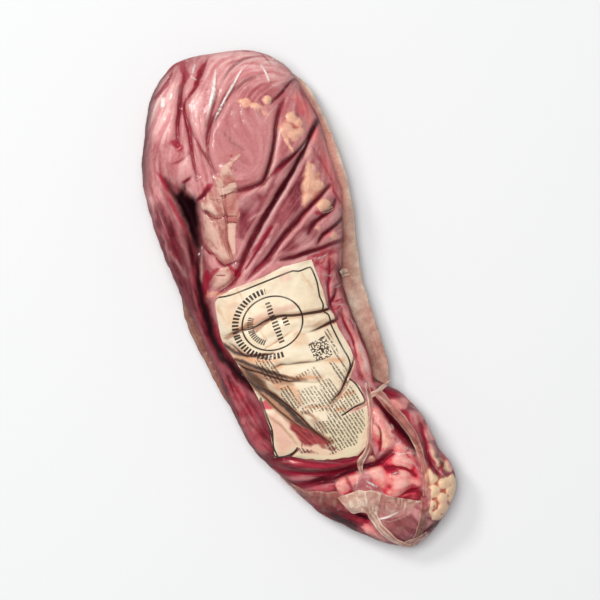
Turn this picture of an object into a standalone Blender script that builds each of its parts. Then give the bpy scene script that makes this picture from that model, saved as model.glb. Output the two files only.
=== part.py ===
"""A whole raw beef tenderloin, folded over at its thin end and sealed in a shrink bag.

A paper label lies between the meat and the film. Metres, +Z up: +Y runs along the cut towards its thick head,
+X across it, and the flat underside lies on Z = 0. Tables are in millimetres, and MM brings them to metres.
"""

import math

import bmesh
import bpy
from mathutils import Vector

MM = 0.001

# Overall form
TAIL_Y = -179.5 * MM
HEAD_Y = 179.0 * MM
LENGTH = HEAD_Y - TAIL_Y
RINGS = 90
SIDES = 56
RING_BUNCHING = 0.25  # how much closer the rings lie at the two ends
SIDE_BUNCHING = 0.36  # how much closer the points lie on the upper side
CROWN_POWER = 2.6
BASE_POWER = 3.4
BASE_SINK = 2.4 * MM  # the base bulges this far below the table before it is pressed flat
WIDEST_AT = 0.36  # height of the widest line, as a share of the crown
HEAD_ROUNDING = 30 * MM
TAIL_ROUNDING = 24 * MM

# Plan outline of the meat in its film: (along the cut, left edge, right edge)
OUTLINE = (
    (-179.5, 16, 16),
    (-176, 9, 27),
    (-170, 0, 38),
    (-160, -11, 51),
    (-148, -22, 59),
    (-136, -33, 60),
    (-124, -39.5, 56.5),
    (-100, -50, 55),
    (-88, -56, 51),
    (-78, -59.5, 46),
    (-72, -60.5, 40),
    (-65, -61.5, 34.5),
    (-50, -62.5, 36.5),
    (0, -63, 38),
    (28, -65, 49),
    (58, -66, 60),
    (84, -65, 62),
    (110, -61.5, 64.5),
    (124, -57, 63),
    (136, -50.5, 61),
    (148, -44, 57.5),
    (160, -37, 49),
    (168, -30, 38),
    (174.5, -20, 16),
    (179, -9, -9),
)
# Height of the crown: (along the cut, height)
CROWN = (
    (-180, 30), (-150, 41), (-120, 47), (-90, 50), (-50, 54),
    (0, 57), (50, 61), (100, 66), (145, 61), (179, 48),
)

# Relief: each fold runs through (across, along, rise) points, and a negative rise is a valley
GROOVE_WIDTH = 6.5 * MM
SIDE_MUSCLE_GROOVE = (
    (-47, 117, -1), (-44, 103, -7), (-39, 91, -12), (-38, 74, -13), (-43, 52, -11), (-50, 25, -9),
    (-53, 0, -8), (-45, -28, -8), (-32, -52, -6), (-18, -80, -2),
)
FOLD_WIDTH = 3.8 * MM
FOLDS = (
    # film folds that run down the head, and the pocket round the smooth eye of the muscle
    ((-6, 170, -1), (-13, 159, -3), (-20, 145, -4), (-26, 134, -4), (-29, 122, -1)),
    ((11, 144, -1), (0, 134, -4), (-7, 126, -4), (-11, 116, -3), (-11, 106, -1)),
    ((43, 126, -2), (27, 99, -4), (18, 86, -4), (11, 80, -4), (0, 81.5, -3), (-9, 83, -1)),
    # long folds that sweep from the right flank down to the label
    ((65, 109, -2), (54, 100, -5), (32, 79, -5), (0, 54, -5), (-26, 30, -4), (-42, 25, -2)),
    ((54, 64, -1), (42, 57, -4), (27, 48, -4), (10, 39, -4), (-4, 31, -3), (-18, 27, -1)),
    ((5, 31, -1), (18, 29.5, -4), (33, 28.5, -3), (48, 28, -3)),
    # creases of the label and of the meat under it
    ((-47, -1, -2), (-38, -6, -2), (-28, -8, -3), (-16, -3, -4), (0, -6.5, -4), (20, -10, -3)),
    ((-47, -23, -2), (-36, -30, -4), (-26, -39, -4), (-14, -47, -3), (-2, -52, -1)),
    ((-1, -69, -1), (9, -64, -3), (18, -57, -3), (26, -46, -1)),
    # where the body ends and the folded tail lies against it
    ((-54, -92, -1), (-38, -100, -3), (-20, -108, -4), (0, -111, -4), (12, -107, -2)),
    ((-42, -111, -2), (-22, -114, -6), (0, -115, -6), (18, -116, -5), (28, -109, -2)),
    ((28, -72, -3), (31, -84, -6), (36, -98, -6), (41, -112, -5), (45, -128, -3), (44, -138, -1)),
    ((-14, -138, -2), (-8, -145, -5), (-4, -152, -2)),
    # the gathered end of the bag
    ((3, -150, 1), (5, -160, 2), (11, -172, 1)),
)
# Rounded lumps of fat and lean: (across, along, radius, rise)
LUMPS = (
    (-37, 140, 22, 4),
    (46, 111, 8, 2.4), (45, 74, 9, 1.6), (40, 64, 8, 1.6), (46, 55, 7, 2.4), (-32, 56, 9, 2),
    (25, -99, 8, 4), (45, -86, 8, 3), (15, -125, 9, 3.5), (25, -133, 8, 4), (30, -121, 7, 3),
    (43, -143, 7, 3), (41, -157, 7, 3), (53, -148, 7, 2.5),
)

# Loose margins of the shrink bag: (along the cut, outer edge), with the height at which they stand out
MARGIN_THICKNESS = 1.2 * MM
MARGIN_ROOT = 7 * MM  # how far a margin runs into the meat
RIGHT_MARGIN = (
    (141, 60), (135, 65), (122, 67.3), (98, 68.8), (74, 67.8), (50, 64), (26, 57.3), (2, 51.2), (-12, 49.8),
    (-48, 47), (-58, 46.2), (-66, 43.5), (-71, 41),
)
RIGHT_MARGIN_HEIGHT = 17 * MM
LEFT_MARGIN = ((34, -65), (24, -67.5), (12, -68.8), (0, -68.2), (-16, -66.4), (-34, -64.8), (-50, -63.5))
LEFT_MARGIN_HEIGHT = 16 * MM
MARGIN_ROWS = 34

# Paper label: corners of its outline in plan, and its build-up over the meat
LABEL_OUTLINE = (
    (-44, 23), (-30, 25), (-10, 24.5), (5, 26), (24, 23.5), (23.5, 2), (22, -8), (24, -15),
    (23.5, -24), (26, -40), (25.5, -49), (18.5, -58), (22.5, -65), (22.5, -77), (19, -88), (13, -102),
    (4, -106.5), (-12, -103), (-26, -97.5), (-36, -91), (-47, -88), (-43.5, -72), (-41.5, -52),
    (-43, -40), (-45.5, -28), (-48, -12), (-48, 2), (-46.5, 15),
)
LABEL_GAP = 0.7 * MM  # measured straight up, so it is less where the meat is steep
LABEL_THICKNESS = 0.8 * MM
LABEL_BLOCK_BASE = 14 * MM
LABEL_BLOCK_TOP = 90 * MM
SHARP_ANGLE = math.radians(50)


def clear_scene():
    for old in list(bpy.data.objects):
        bpy.data.objects.remove(old, do_unlink=True)


def principled(name, colour, roughness, metallic=0.0):
    material = bpy.data.materials.new(name)
    material.use_nodes = True
    shader = material.node_tree.nodes["Principled BSDF"]
    shader.inputs["Base Color"].default_value = (*colour, 1.0)
    shader.inputs["Roughness"].default_value = roughness
    shader.inputs["Metallic"].default_value = metallic
    return material


def add_object(name, bm, material):
    mesh = bpy.data.meshes.new(name)
    bm.to_mesh(mesh)
    bm.free()
    mesh.materials.append(material)
    made = bpy.data.objects.new(name, mesh)
    bpy.context.scene.collection.objects.link(made)
    return made


def smooth_between(before, start, end, after, share):
    """A Catmull-Rom curve from start to end."""
    return 0.5 * (
        2 * start
        + (end - before) * share
        + (2 * before - 5 * start + 4 * end - after) * share**2
        + (3 * start - before - 3 * end + after) * share**3
    )


def end_share(y):
    """Where a ring lies, counted so that a round end has an even slope there."""
    share = min(1.0, max(0.0, (y - TAIL_Y) / LENGTH))
    return math.acos(1 - 2 * share) / math.pi


def read_table(table, column, y, scale=end_share):
    """The value of one column of a table at y, on a smooth curve through its rows."""
    places = [scale(row[0] * MM) for row in table]
    here = scale(y)
    last = len(table) - 2
    i = min(last, max(0, sum(place <= here for place in places) - 1))
    share = min(1.0, max(0.0, (here - places[i]) / (places[i + 1] - places[i])))
    rows = [table[min(len(table) - 1, max(0, i + step))][column] * MM for step in (-1, 0, 1, 2)]
    return smooth_between(*rows, share)


def rounded_end(y):
    """1 along the cut, falling to 0 at either end on a quarter round."""
    share = min(1.0, (y - TAIL_Y) / TAIL_ROUNDING, (HEAD_Y - y) / HEAD_ROUNDING)
    return math.sqrt(max(0.0, 1 - (1 - share) ** 2))


def power(value, exponent):
    return math.copysign(abs(value) ** exponent, value)


def skin_point(along, round_share):
    """A point of the plain form. along is from tail to head, and round_share goes once round the section."""
    even = along
    bunched = (1 - math.cos(math.pi * along)) / 2
    y = TAIL_Y + LENGTH * (even + (bunched - even) * RING_BUNCHING)
    angle = 2 * math.pi * round_share
    angle += SIDE_BUNCHING * math.cos(angle)
    left = read_table(OUTLINE, 1, y)
    right = read_table(OUTLINE, 2, y)
    crown = read_table(CROWN, 1, y)
    waist = crown * WIDEST_AT
    fullness = rounded_end(y)
    x = (left + right) / 2 + (right - left) / 2 * power(math.cos(angle), 2 / CROWN_POWER)
    if math.sin(angle) >= 0:
        z = waist + (crown - waist) * fullness * power(math.sin(angle), 2 / CROWN_POWER)
    else:
        x = (left + right) / 2 + (right - left) / 2 * power(math.cos(angle), 2 / BASE_POWER)
        z = waist + (waist + BASE_SINK) * fullness * power(math.sin(angle), 2 / BASE_POWER)
    return Vector((x, y, z))


def along_path(path, steps=5):
    """The points of a fold on a smooth curve, as (x, y, rise) in metres."""
    points = [Vector(point) * MM for point in path]
    drawn = []
    for i in range(len(points) - 1):
        four = [points[min(len(points) - 1, max(0, i + step))] for step in (-1, 0, 1, 2)]
        drawn += [smooth_between(*four, step / steps) for step in range(steps)]
    return [*drawn, points[-1]]


def rise_by_path(x, y, drawn, width):
    """How far a fold lifts or lowers the surface at a place in plan."""
    nearest, rise = float("inf"), 0.0
    for start, end in zip(drawn, drawn[1:]):
        run = (end - start).to_2d()
        share = ((x - start.x) * run.x + (y - start.y) * run.y) / run.length_squared
        foot = start.lerp(end, min(1.0, max(0.0, share)))
        gap = math.hypot(x - foot.x, y - foot.y)
        if gap < nearest:
            nearest, rise = gap, foot.z
    return rise * math.exp(-((nearest / width) ** 2))


def relief(x, y, folds, groove):
    """The sum of every fold and lump at a place in plan."""
    total = rise_by_path(x, y, groove, GROOVE_WIDTH)
    total += sum(rise_by_path(x, y, fold, FOLD_WIDTH) for fold in folds)
    for across, along, radius, rise in LUMPS:
        gap = math.hypot(x - across * MM, y - along * MM) / (radius * MM)
        if gap < 1:
            total += rise * MM * math.sqrt(1 - gap**2)
    return total


def upper_side(normal):
    """1 on the top, falling to 0 where the side turns under."""
    share = min(1.0, max(0.0, (normal.z + 0.05) / 0.45))
    return share * share * (3 - 2 * share)


def pack_mesh():
    """The meat in its film, from a ball whose rings become the sections of the cut."""
    bm = bmesh.new()
    bmesh.ops.create_uvsphere(bm, u_segments=SIDES, v_segments=RINGS, radius=1.0)
    for vertex in bm.verts:
        along = math.acos(max(-1.0, min(1.0, -vertex.co.z))) / math.pi
        round_share = math.atan2(vertex.co.y, vertex.co.x) / (2 * math.pi) % 1.0
        vertex.co = skin_point(along, round_share)
    bmesh.ops.recalc_face_normals(bm, faces=bm.faces)
    bm.normal_update()
    folds = [along_path(fold) for fold in FOLDS]
    groove = along_path(SIDE_MUSCLE_GROOVE)
    for vertex in bm.verts:
        vertex.co.z += relief(vertex.co.x, vertex.co.y, folds, groove) * upper_side(vertex.normal)
        vertex.co.z = max(0.0, vertex.co.z)
    bmesh.ops.triangulate(bm, faces=bm.faces, quad_method="SHORT_EDGE")
    return bm


def margin_mesh(edge, height, side):
    """A loose margin of the bag: a thin flat strip with its root inside the meat."""
    bm = bmesh.new()
    bmesh.ops.create_grid(bm, x_segments=1, y_segments=MARGIN_ROWS, size=0.5)
    first, last = edge[0][0] * MM, edge[-1][0] * MM
    for vertex in bm.verts:
        y = first + (last - first) * (0.5 - vertex.co.y)
        outer = read_table(tuple(sorted(edge)), 1, y, scale=lambda place: place)
        root = read_table(OUTLINE, 2 if side > 0 else 1, y) - side * MARGIN_ROOT
        vertex.co = Vector((outer if vertex.co.x * side > 0 else root, y, height))
    bmesh.ops.recalc_face_normals(bm, faces=bm.faces)
    bmesh.ops.solidify(bm, geom=bm.faces[:], thickness=MARGIN_THICKNESS)
    bmesh.ops.recalc_face_normals(bm, faces=bm.faces)
    return bm


def join(target, others, operation):
    """Applies one Boolean of target with a list of objects, which are then removed."""
    group = bpy.data.collections.new("joined")
    bpy.context.scene.collection.children.link(group)
    for other in others:
        group.objects.link(other)
    boolean = target.modifiers.new("join", "BOOLEAN")
    boolean.operation = operation
    boolean.operand_type = "COLLECTION"
    boolean.collection = group
    boolean.solver = "EXACT"
    bpy.context.view_layer.update()
    evaluated = target.evaluated_get(bpy.context.evaluated_depsgraph_get())
    joined = bpy.data.meshes.new_from_object(evaluated)
    target.modifiers.clear()
    target.data = joined
    for other in others:
        bpy.data.objects.remove(other, do_unlink=True)
    bpy.data.collections.remove(group)


def label_block():
    """The label's outline as an upright block, which cuts the label out of a skin over the meat."""
    bm = bmesh.new()
    corners = [Vector((across * MM, along * MM, LABEL_BLOCK_BASE)) for across, along in LABEL_OUTLINE]
    face = bm.faces.new([bm.verts.new(corner) for corner in corners])
    raised = bmesh.ops.extrude_face_region(bm, geom=[face])["geom"]
    top = [item for item in raised if isinstance(item, bmesh.types.BMVert)]
    bmesh.ops.translate(bm, verts=top, vec=Vector((0, 0, LABEL_BLOCK_TOP - LABEL_BLOCK_BASE)))
    bmesh.ops.recalc_face_normals(bm, faces=bm.faces)
    return bm


def lifted(bm, distance):
    """A copy of the meat that stands this much higher."""
    copy = bm.copy()
    bmesh.ops.translate(copy, verts=copy.verts, vec=Vector((0, 0, distance)))
    return copy


def build():
    clear_scene()
    film = principled("clear film over raw beef", (0.42, 0.13, 0.15), 0.25)
    paper = principled("wet label paper", (0.86, 0.74, 0.56), 0.55)
    form = pack_mesh()
    label = add_object("paper_label", label_block(), paper)
    join(label, [add_object("label top", lifted(form, LABEL_GAP + LABEL_THICKNESS), paper)], "INTERSECT")
    join(label, [add_object("label underside", lifted(form, LABEL_GAP), paper)], "DIFFERENCE")
    pack = add_object("sealed_pack", form, film)
    margins = [
        add_object("right margin", margin_mesh(RIGHT_MARGIN, RIGHT_MARGIN_HEIGHT, 1), film),
        add_object("left margin", margin_mesh(LEFT_MARGIN, LEFT_MARGIN_HEIGHT, -1), film),
    ]
    join(pack, margins, "UNION")
    for made in (pack, label):
        made.data.shade_smooth()
        made.data.set_sharp_from_angle(angle=SHARP_ANGLE)


build()
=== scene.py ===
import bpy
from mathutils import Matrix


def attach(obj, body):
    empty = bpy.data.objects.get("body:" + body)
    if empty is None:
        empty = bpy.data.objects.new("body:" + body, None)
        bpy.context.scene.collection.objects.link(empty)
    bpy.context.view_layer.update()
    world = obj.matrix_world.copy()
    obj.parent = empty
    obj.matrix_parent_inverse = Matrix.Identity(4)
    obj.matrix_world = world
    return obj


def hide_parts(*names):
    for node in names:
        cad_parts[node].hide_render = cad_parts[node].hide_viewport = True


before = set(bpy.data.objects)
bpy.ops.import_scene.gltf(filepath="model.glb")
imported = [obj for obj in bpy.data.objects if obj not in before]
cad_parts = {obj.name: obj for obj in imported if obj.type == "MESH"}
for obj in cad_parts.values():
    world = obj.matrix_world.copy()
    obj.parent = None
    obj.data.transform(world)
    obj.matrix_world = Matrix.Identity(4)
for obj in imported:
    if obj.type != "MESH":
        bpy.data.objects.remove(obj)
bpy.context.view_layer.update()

import math

import bmesh
import bpy
import numpy as np
from mathutils import Vector

# The view and the light. The pack lies label up on a pale table, seen from straight above through a long lens.
# One small lamp beyond the head end draws the glints along the film's folds, and a soft one overhead fills the rest.
MM = 0.001
VIEW_CENTRE = Vector((7.26, 1.83, 22)) * MM
VIEW_TURN = math.radians(-22)  # the pack lies askew in the picture
VIEW_WIDTH = 397.8 * MM
VIEW_DISTANCE = 1.6
SENSOR = 36.0

scene = bpy.context.scene
lens = bpy.data.cameras.new("overhead view")
lens.sensor_width = SENSOR
lens.lens = SENSOR * VIEW_DISTANCE / VIEW_WIDTH
camera = bpy.data.objects.new("overhead view", lens)
camera.location = VIEW_CENTRE + Vector((0, 0, VIEW_DISTANCE))
camera.rotation_euler = (0, 0, VIEW_TURN)
scene.collection.objects.link(camera)
scene.camera = camera
scene.view_settings.view_transform = "Standard"


def add_lamp(name, place, size, watts, colour):
    lamp = bpy.data.lights.new(name, "AREA")
    lamp.shape = "SQUARE"
    lamp.size = size
    lamp.energy = watts
    lamp.color = colour
    holder = bpy.data.objects.new(name, lamp)
    holder.location = place
    holder.rotation_euler = (-Vector(place)).to_track_quat("-Z", "Y").to_euler()
    scene.collection.objects.link(holder)
    return holder


add_lamp("small lamp", (-0.9, 1.7, 2.3), 0.56, 24, (1.0, 0.98, 0.96))
add_lamp("soft lamp", (-0.2, 0.45, 2.95), 1.4, 69, (1.0, 1.0, 1.0)).visible_glossy = False  # no glint of its own

world = bpy.data.worlds.new("pale room")
world.use_nodes = True
world.node_tree.nodes["Background"].inputs["Color"].default_value = (1.0, 1.0, 1.0, 1.0)
world.node_tree.nodes["Background"].inputs["Strength"].default_value = 0.2
scene.world = world


# The meat. A whole raw tenderloin with its thin tail folded under itself: a smooth rounded head, a darker side
# muscle along the left, and clods of fat. It is one ball, whose rings become the sections of the cut.
TAIL_Y = -179.5 * MM
HEAD_Y = 179.0 * MM
HEAD_ROUNDING = 30 * MM
TAIL_ROUNDING = 24 * MM
CROWN_POWER = 2.6
BASE_POWER = 3.4
BASE_SINK = 2.4 * MM
PLEAT_DEPTH = 0.45 * MM
WIDEST_AT = 0.36
RING_BUNCHING = 0.25
SIDE_BUNCHING = 0.55
FINE_RINGS = 430
FINE_SIDES = 216
FILM_GAP = 0.8 * MM  # from the film down to the meat

# (along the cut, left edge, right edge)
OUTLINE = (
    (-179.5, 16, 16), (-176, 9, 27), (-170, 0, 38), (-160, -11, 51), (-148, -22, 59), (-136, -33, 60),
    (-124, -39.5, 56.5), (-100, -50, 55), (-88, -56, 51), (-78, -59.5, 46), (-72, -60.5, 40), (-65, -61.5, 34.5),
    (-50, -62.5, 36.5), (0, -63, 38), (28, -65, 49), (58, -66, 60), (84, -65, 62), (110, -61.5, 64.5), (124, -57, 63),
    (136, -50.5, 61), (148, -44, 57.5), (160, -37, 49), (168, -30, 38), (174.5, -20, 16), (179, -9, -9),
)
# (along the cut, height)
CROWN = (
    (-180, 30), (-150, 41), (-120, 47), (-90, 50), (-50, 54), (0, 57), (50, 61), (100, 66), (145, 61), (179, 48),
)

# Valleys of the meat that the film follows: width, how much blood and painted shade it holds, and (across, along,
# rise)
VALLEYS = (
    # the groove beside the side muscle
    (6.5, 0, ((-47, 117, -1), (-44, 103, -7), (-39, 91, -12), (-38, 74, -13), (-43, 52, -11), (-50, 25, -9),
        (-53, 0, -8), (-45, -28, -8), (-32, -52, -6), (-18, -80, -2))),
    # film folds that run down the head
    (2.3, 1, ((-6, 171, -1.5), (-9, 163, -3), (-13, 158, -4), (-19.5, 145, -4.2), (-24, 136, -3.8),
        (-28.5, 125, -2))),
    (2, 0.9, ((6, 167, -1.5), (0, 160, -3), (-4, 155, -2.4), (-13, 149.5, -2), (-17, 142, -3), (-19.5, 126, -3),
        (-23, 111, -2.4), (-24.5, 101, -1))),
    (1.5, 0.55, ((-15, 141, -0.5), (-16.5, 128, -1.6), (-15.5, 117, -2), (-14, 108, -1.8), (-12.5, 98, -0.6))),
    (2.3, 0.85, ((21, 147.5, -0.8), (11, 140.5, -3.2), (3.5, 134, -4), (-4, 128.5, -3.8), (-9, 121, -3.2),
        (-12, 113, -2), (-12.5, 106, -0.6))),
    (1.8, 0.5, ((10, 149, -0.5), (4, 141, -2.2), (-2, 134, -2), (-6, 129, -0.8))),
    (2.2, 0.3, ((46, 160, -0.4), (32, 161, -1.4), (21, 157.5, -1.6), (12, 150, -0.6))),
    (2.2, 0.4, ((43, 147, -0.5), (30, 147, -1.8), (22, 144.5, -1.8), (15, 140, -0.4))),
    (1.5, 0.8, ((61, 139, -1), (54, 136, -2), (47, 131.5, -2.4), (42, 129, -1.8), (37, 127, -0.6))),
    (1.2, 0.45, ((-39, 115, -0.2), (-34, 114, -0.9), (-29, 114.5, -0.9), (-22, 117, -0.3))),
    (1.8, 0.8, ((11, 172, -0.6), (6, 166, -1.6), (2, 161, -1))),
    (1.8, 0.6, ((-38, 158, -0.3), (-28, 162, -1.4), (-18, 169, -1.2), (-12, 175, -0.4))),
    # the pocket round the smooth eye of the muscle
    (1.9, 0.85, ((47, 127, -1), (41, 121, -2.8), (36, 114, -3.4), (29, 101, -3.8), (22, 90.5, -3.8), (16, 84, -3.4),
        (12, 81, -2.8), (0, 81.5, -2.8), (-9, 84, -1))),
    # long folds that sweep from the right flank down to the label
    (1.9, 0.95, ((66, 109, -2), (61, 106, -3.4), (54, 99.5, -4.4), (46, 91.5, -4.6), (38, 84.5, -4.8), (28, 76.5, -5),
        (18, 69, -5), (0, 55, -5), (-14, 43, -4.6), (-26, 30.5, -4), (-33, 27.5, -3), (-43, 25, -1.5))),
    (1.7, 0.9, ((48, 95.5, -1), (40, 91, -2.8), (30, 87.3, -2.8), (20, 83.5, -1.8), (13, 80.5, -1))),
    (1.9, 0.9, ((53, 64, -1.4), (43, 59, -3.4), (34, 54.8, -3.6), (25, 50, -4), (16, 45.5, -4), (7, 40.5, -4),
        (-1, 35, -3.8), (-10, 31, -3), (-20, 27, -1))),
    (1.6, 0.85, ((54, 55, -1), (49, 49.5, -3), (41, 46.8, -3), (33, 44, -2.8), (28, 39.5, -1))),
    (1.6, 0.85, ((57, 43, -1), (50, 40, -2.6), (42, 37, -2.8), (36, 35.3, -2.6), (31, 31, -1))),
    (1.8, 0.9, ((4, 31, -1), (12, 29.6, -3), (24, 28.6, -3.4), (34, 28, -3.2), (42, 28.6, -2.6), (51, 27, -1))),
    (1.6, 0.9, ((8, 52.5, -1.2), (0, 46.5, -1.6), (-9, 40, -1.6), (-18, 33.5, -1))),
    # beside the label
    (2.4, 0.9, ((39, 14, -1), (38.3, -5, -3), (38.3, -30, -3.4), (37, -52, -3), (33, -66, -1))),
    (1.6, 0.8, ((37, 26, -0.4), (32, 12, -1.6), (27, 2, -1.8), (24.5, -10, -1.6), (26, -20, -0.4))),
    (1.4, 0.8, ((34, 3, -0.3), (29, -4, -1.6), (25, -7, -1.2), (21, -8.5, -0.4))),
    (1.5, 0.7, ((31, -10, -0.3), (28.5, -22, -1.4), (29.5, -35, -1.2), (27, -50, -0.6))),
    # where the body ends and the folded tail lies against it
    (2.4, 0.9, ((-52, -90, -1), (-45, -98, -2.6), (-33, -104.5, -3), (-18, -110, -3.4), (0, -112, -2.6),
        (12, -108.5, -1))),
    (1.8, 0.9, ((-48, -89, -0.6), (-36, -93, -2), (-26, -99, -2.4), (-14, -104.5, -2.4), (0, -108, -2),
        (10, -106, -1))),
    (2.6, 1, ((-44, -109, -1), (-30, -112.5, -4), (-16, -114, -5), (2, -114.5, -5), (16, -116, -4.4),
        (24, -113, -2.4))),
    (2.6, 1, ((27, -72, -3), (31, -84, -5), (35, -96, -6), (39, -108, -5.6), (42, -118, -3.4))),
    (2, 0.8, ((50, -100, -1), (49, -112, -3), (47, -124, -3.4), (47.5, -134, -2), (50, -140, -0.8))),
    (2.2, 0.8, ((34, -75, -2), (41, -80, -2), (47, -83, -0.8))),
    (2.6, 1, ((-15, -139, -1.4), (-10, -144, -4), (-6, -147, -4), (-3, -152, -1.4))),
    (1.6, 0.8, ((16, -117, -0.6), (19, -121, -2.6), (24, -123, -2.8), (30, -126, -1.8), (34, -133, -0.6))),
    (1.6, 0.7, ((17, -143, -0.6), (24, -141, -1.8), (32, -143, -2), (36, -150, -0.8))),
    (1.6, 0.7, ((20, -88, -0.4), (24, -95, -1.4), (20, -107, -1.2), (14, -112, -0.5))),
    # small cracks in the sheet of sinew
    (1.3, 0.9, ((-30, 79, -0.6), (-27, 76, -1.8), (-24, 72, -1.8), (-18, 70.4, -1.2))),
    (1.1, 0.9, ((-37, 57, -0.6), (-36, 52.5, -1.6), (-33, 50, -1.4), (-32, 45, -1.4), (-29, 40.6, -1.6),
        (-20, 40, -0.8))),
    (0.9, 0.8, ((-38, 37.4, -0.2), (-35, 36, -1), (-31.5, 34.6, -0.3))),
)
# Rounded clods of fat and lean: (across, along, radius, rise)
LUMPS = (
    (-37, 140, 22, 4), (22, 133, 4.5, 1.5), (28, 128.5, 4.5, 1.5), (36.2, 129.6, 4.2, 2.4), (33, 124.5, 3.5, 0.9),
    (46, 114, 4.4, 2.2), (41, 108, 4.4, 1.8), (49.5, 109.5, 4, 2), (44.5, 103, 4.6, 1.8), (49, 103, 3.5, 1.4),
    (38, 99, 3, 1.2), (46, 76, 6, 1.4), (41, 69, 6.5, 1.6), (47, 66.5, 5.5, 1.4), (37, 61, 4.6, 1.2),
    (44.8, 53.2, 5.2, 2.8), (36, 40.8, 2.6, 1.2), (-27, 82.5, 4.5, 1.6), (-22.5, 78, 4, 1), (-13, 93, 5, 1.2),
    (-5, 97, 6, 1.2), (-9, 87.5, 7, 0.6), (3, 101, 5, 0.8), (-29, 64, 10, 1.4), (-27, 50, 9, 1.2),
    (-37, 46, 5.5, 1.4), (-34, 34, 9, 1.8), (-46, 27.5, 5, 1.8), (-40, 33, 5, 1), (43, 32, 6, 1.6), (28, 24, 6, 1.2),
    (37, 21, 5, 1), (33, -42, 6, 1.4), (32, -55, 6.5, 1.6), (25, -96, 9.5, 4.4), (25, -106, 7, 2.8),
    (28, -86, 7, 2.6), (32, -101, 4.5, 1.6), (43, -84, 10, 3), (49, -97, 8, 2.6), (53, -112, 5.5, 2.4),
    (51, -124, 6, 2.2), (12, -120, 7, 2.4), (13, -128, 7, 2.6), (17, -137, 6, 2.2), (25, -130.5, 10, 5),
    (23, -139, 7.5, 3), (29, -120, 6.5, 3.2), (33, -124, 5, 2.2), (32, -112, 6, 2.8), (37, -118, 3.5, 1.2),
    (-11, -120, 8, 2.6), (-4, -122, 6, 1.8), (-24, -118, 8, 1.6), (33, -137, 5, 2), (31, -145, 4.5, 1.8),
    (-8, -157, 6.5, 2.4), (-3, -164, 6, 2), (57, -136, 5, 1.8),
)
# The label's creases, which the meat and the film over it share: width, and (across, along, rise)
LABEL_CREASES = (
    (1.5, ((-52, -1, -0.5), (-44, -1.5, -1), (-36, -2, -1.3), (-28, -3.6, -1.3), (-16, -2.3, -2), (-8, -3.2, -2),
        (0, -6, -1.9), (8, -8, -2), (18, -10.2, -2.4), (26, -10.5, -1.5))),
    (1.2, ((-49, -5, -0.4), (-44.5, -9, -1.2), (-41, -16, -1.5), (-37.5, -19.5, -1.5), (-31, -22, -1.5),
        (-24, -23.6, -1), (-19, -24.2, -0.2))),
    (1, ((-26, -19.4, -0.4), (-18, -17.8, -0.8), (-10, -16.5, -0.7), (-2, -14, -0.2))),
    (1.2, ((2, -19.6, -0.5), (10, -19.9, -1.4), (20, -19, -2), (25, -19, -1.4))),
    (1.2, ((-26, -33, -0.9), (-20, -32.4, -1.3), (-16, -34, -1.1), (-8, -36, -1.3), (0, -38.5, -1.1), (8, -41, -0.7),
        (16, -44.5, -0.4))),
    (1.3, ((-48, -19, -1), (-42, -27, -1.5), (-35, -32, -1.4), (-28, -38, -1.6), (-20, -44, -1.5), (-14, -46.5, -1.2),
        (-8, -49.5, -0.9), (-2, -52, -0.8), (4, -50, -0.2))),
    (1.4, ((-19, -63.5, -0.4), (-10, -66, -0.8), (-3, -67.5, -0.5))),
    (1.2, ((-1, -69, -0.8), (4, -66, -1.4), (10, -63, -1.6), (16, -57, -1.8), (22, -51.5, -1.4), (27, -45, -0.8))),
    (1, ((4, -78.6, -0.5), (12, -76.6, -1.1), (20, -75.8, -1.1), (24, -76.4, -0.5))),
    (1.3, ((-38, -41, -0.8), (-32, -49, -1.5), (-26, -59, -1.5), (-21, -69, -1.5), (-17, -79, -1.5), (-12, -88, -1.3),
        (-8, -93, -0.6))),
    (1.2, ((-43, -38, -0.8), (-38, -48, -1.3), (-33, -59, -1.3), (-28, -68, -1.3), (-24, -75, -1), (-22, -80, -0.4))),
    (1, ((-26, 21, -0.2), (-28.5, 27, -0.2))), (1, ((-5, -70, -0.3), (0, -74, -0.8), (2, -82, -0.4))),
    (1.1, ((-47, -88.5, -1), (-38, -90.5, -1.3), (-31, -88.5, -1))),
)
# and the broad rolls between them
LABEL_ROLLS = (
    (3.2, ((-40, -21, 0.6), (-30, -28, 1.2), (-20, -30, 1), (-8, -29, 0.5))),
    (3, ((-40, -32, 0.6), (-32, -40, 1.3), (-22, -50, 1.2), (-16, -58, 0.8))),
    (3.5, ((-36, 4, 0.3), (-20, 4, 0.9), (0, 1, 0.9), (12, -3, 0.5))),
    (3, ((-30, -12, 0.5), (-16, -10, 1), (-2, -10, 0.8), (10, -14, 0.7))),
    (3, ((-14, -41, 0.6), (0, -45, 1), (12, -50, 0.8))), (2.6, ((6, -71, 0.8), (16, -68, 0.9))),
    (3, ((-14, -70, 0.6), (-6, -80, 0.9), (0, -92, 0.7))), (2.2, ((-36, 16, 0.5), (-24, 14, 0.6), (-8, 16, 0.3))),
    (2.4, ((4, 16, 0.5), (14, 8, 0.6), (16, 0, 0.3))),
)
# The clod of creamy fat at the tail's outer edge is a cobble of small lobes
FAT_LOBES = (
    (43.6, -138.6, 5.2), (47, -134.5, 3.4), (50, -145, 5.6), (42, -147.4, 5.4), (36.6, -155.6, 4.6),
    (45.6, -154.4, 5.4), (53, -152, 5.2), (55.6, -145.4, 4.6), (51.4, -157.6, 3.6), (43.6, -160.8, 5),
    (37.4, -162.8, 4.8), (40.4, -166.8, 3.4), (33.6, -160.4, 3), (56, -137.6, 3.6), (51.6, -138.6, 3.8),
    (51.5, -130.6, 3.2), (37.4, -149.6, 3),
)
FAT_LOBE_RISE = 3.0
LOBE_BLEND = 2.2  # the higher, the deeper the clefts between lobes
LUMP_ROUNDNESS = 1.6


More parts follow.
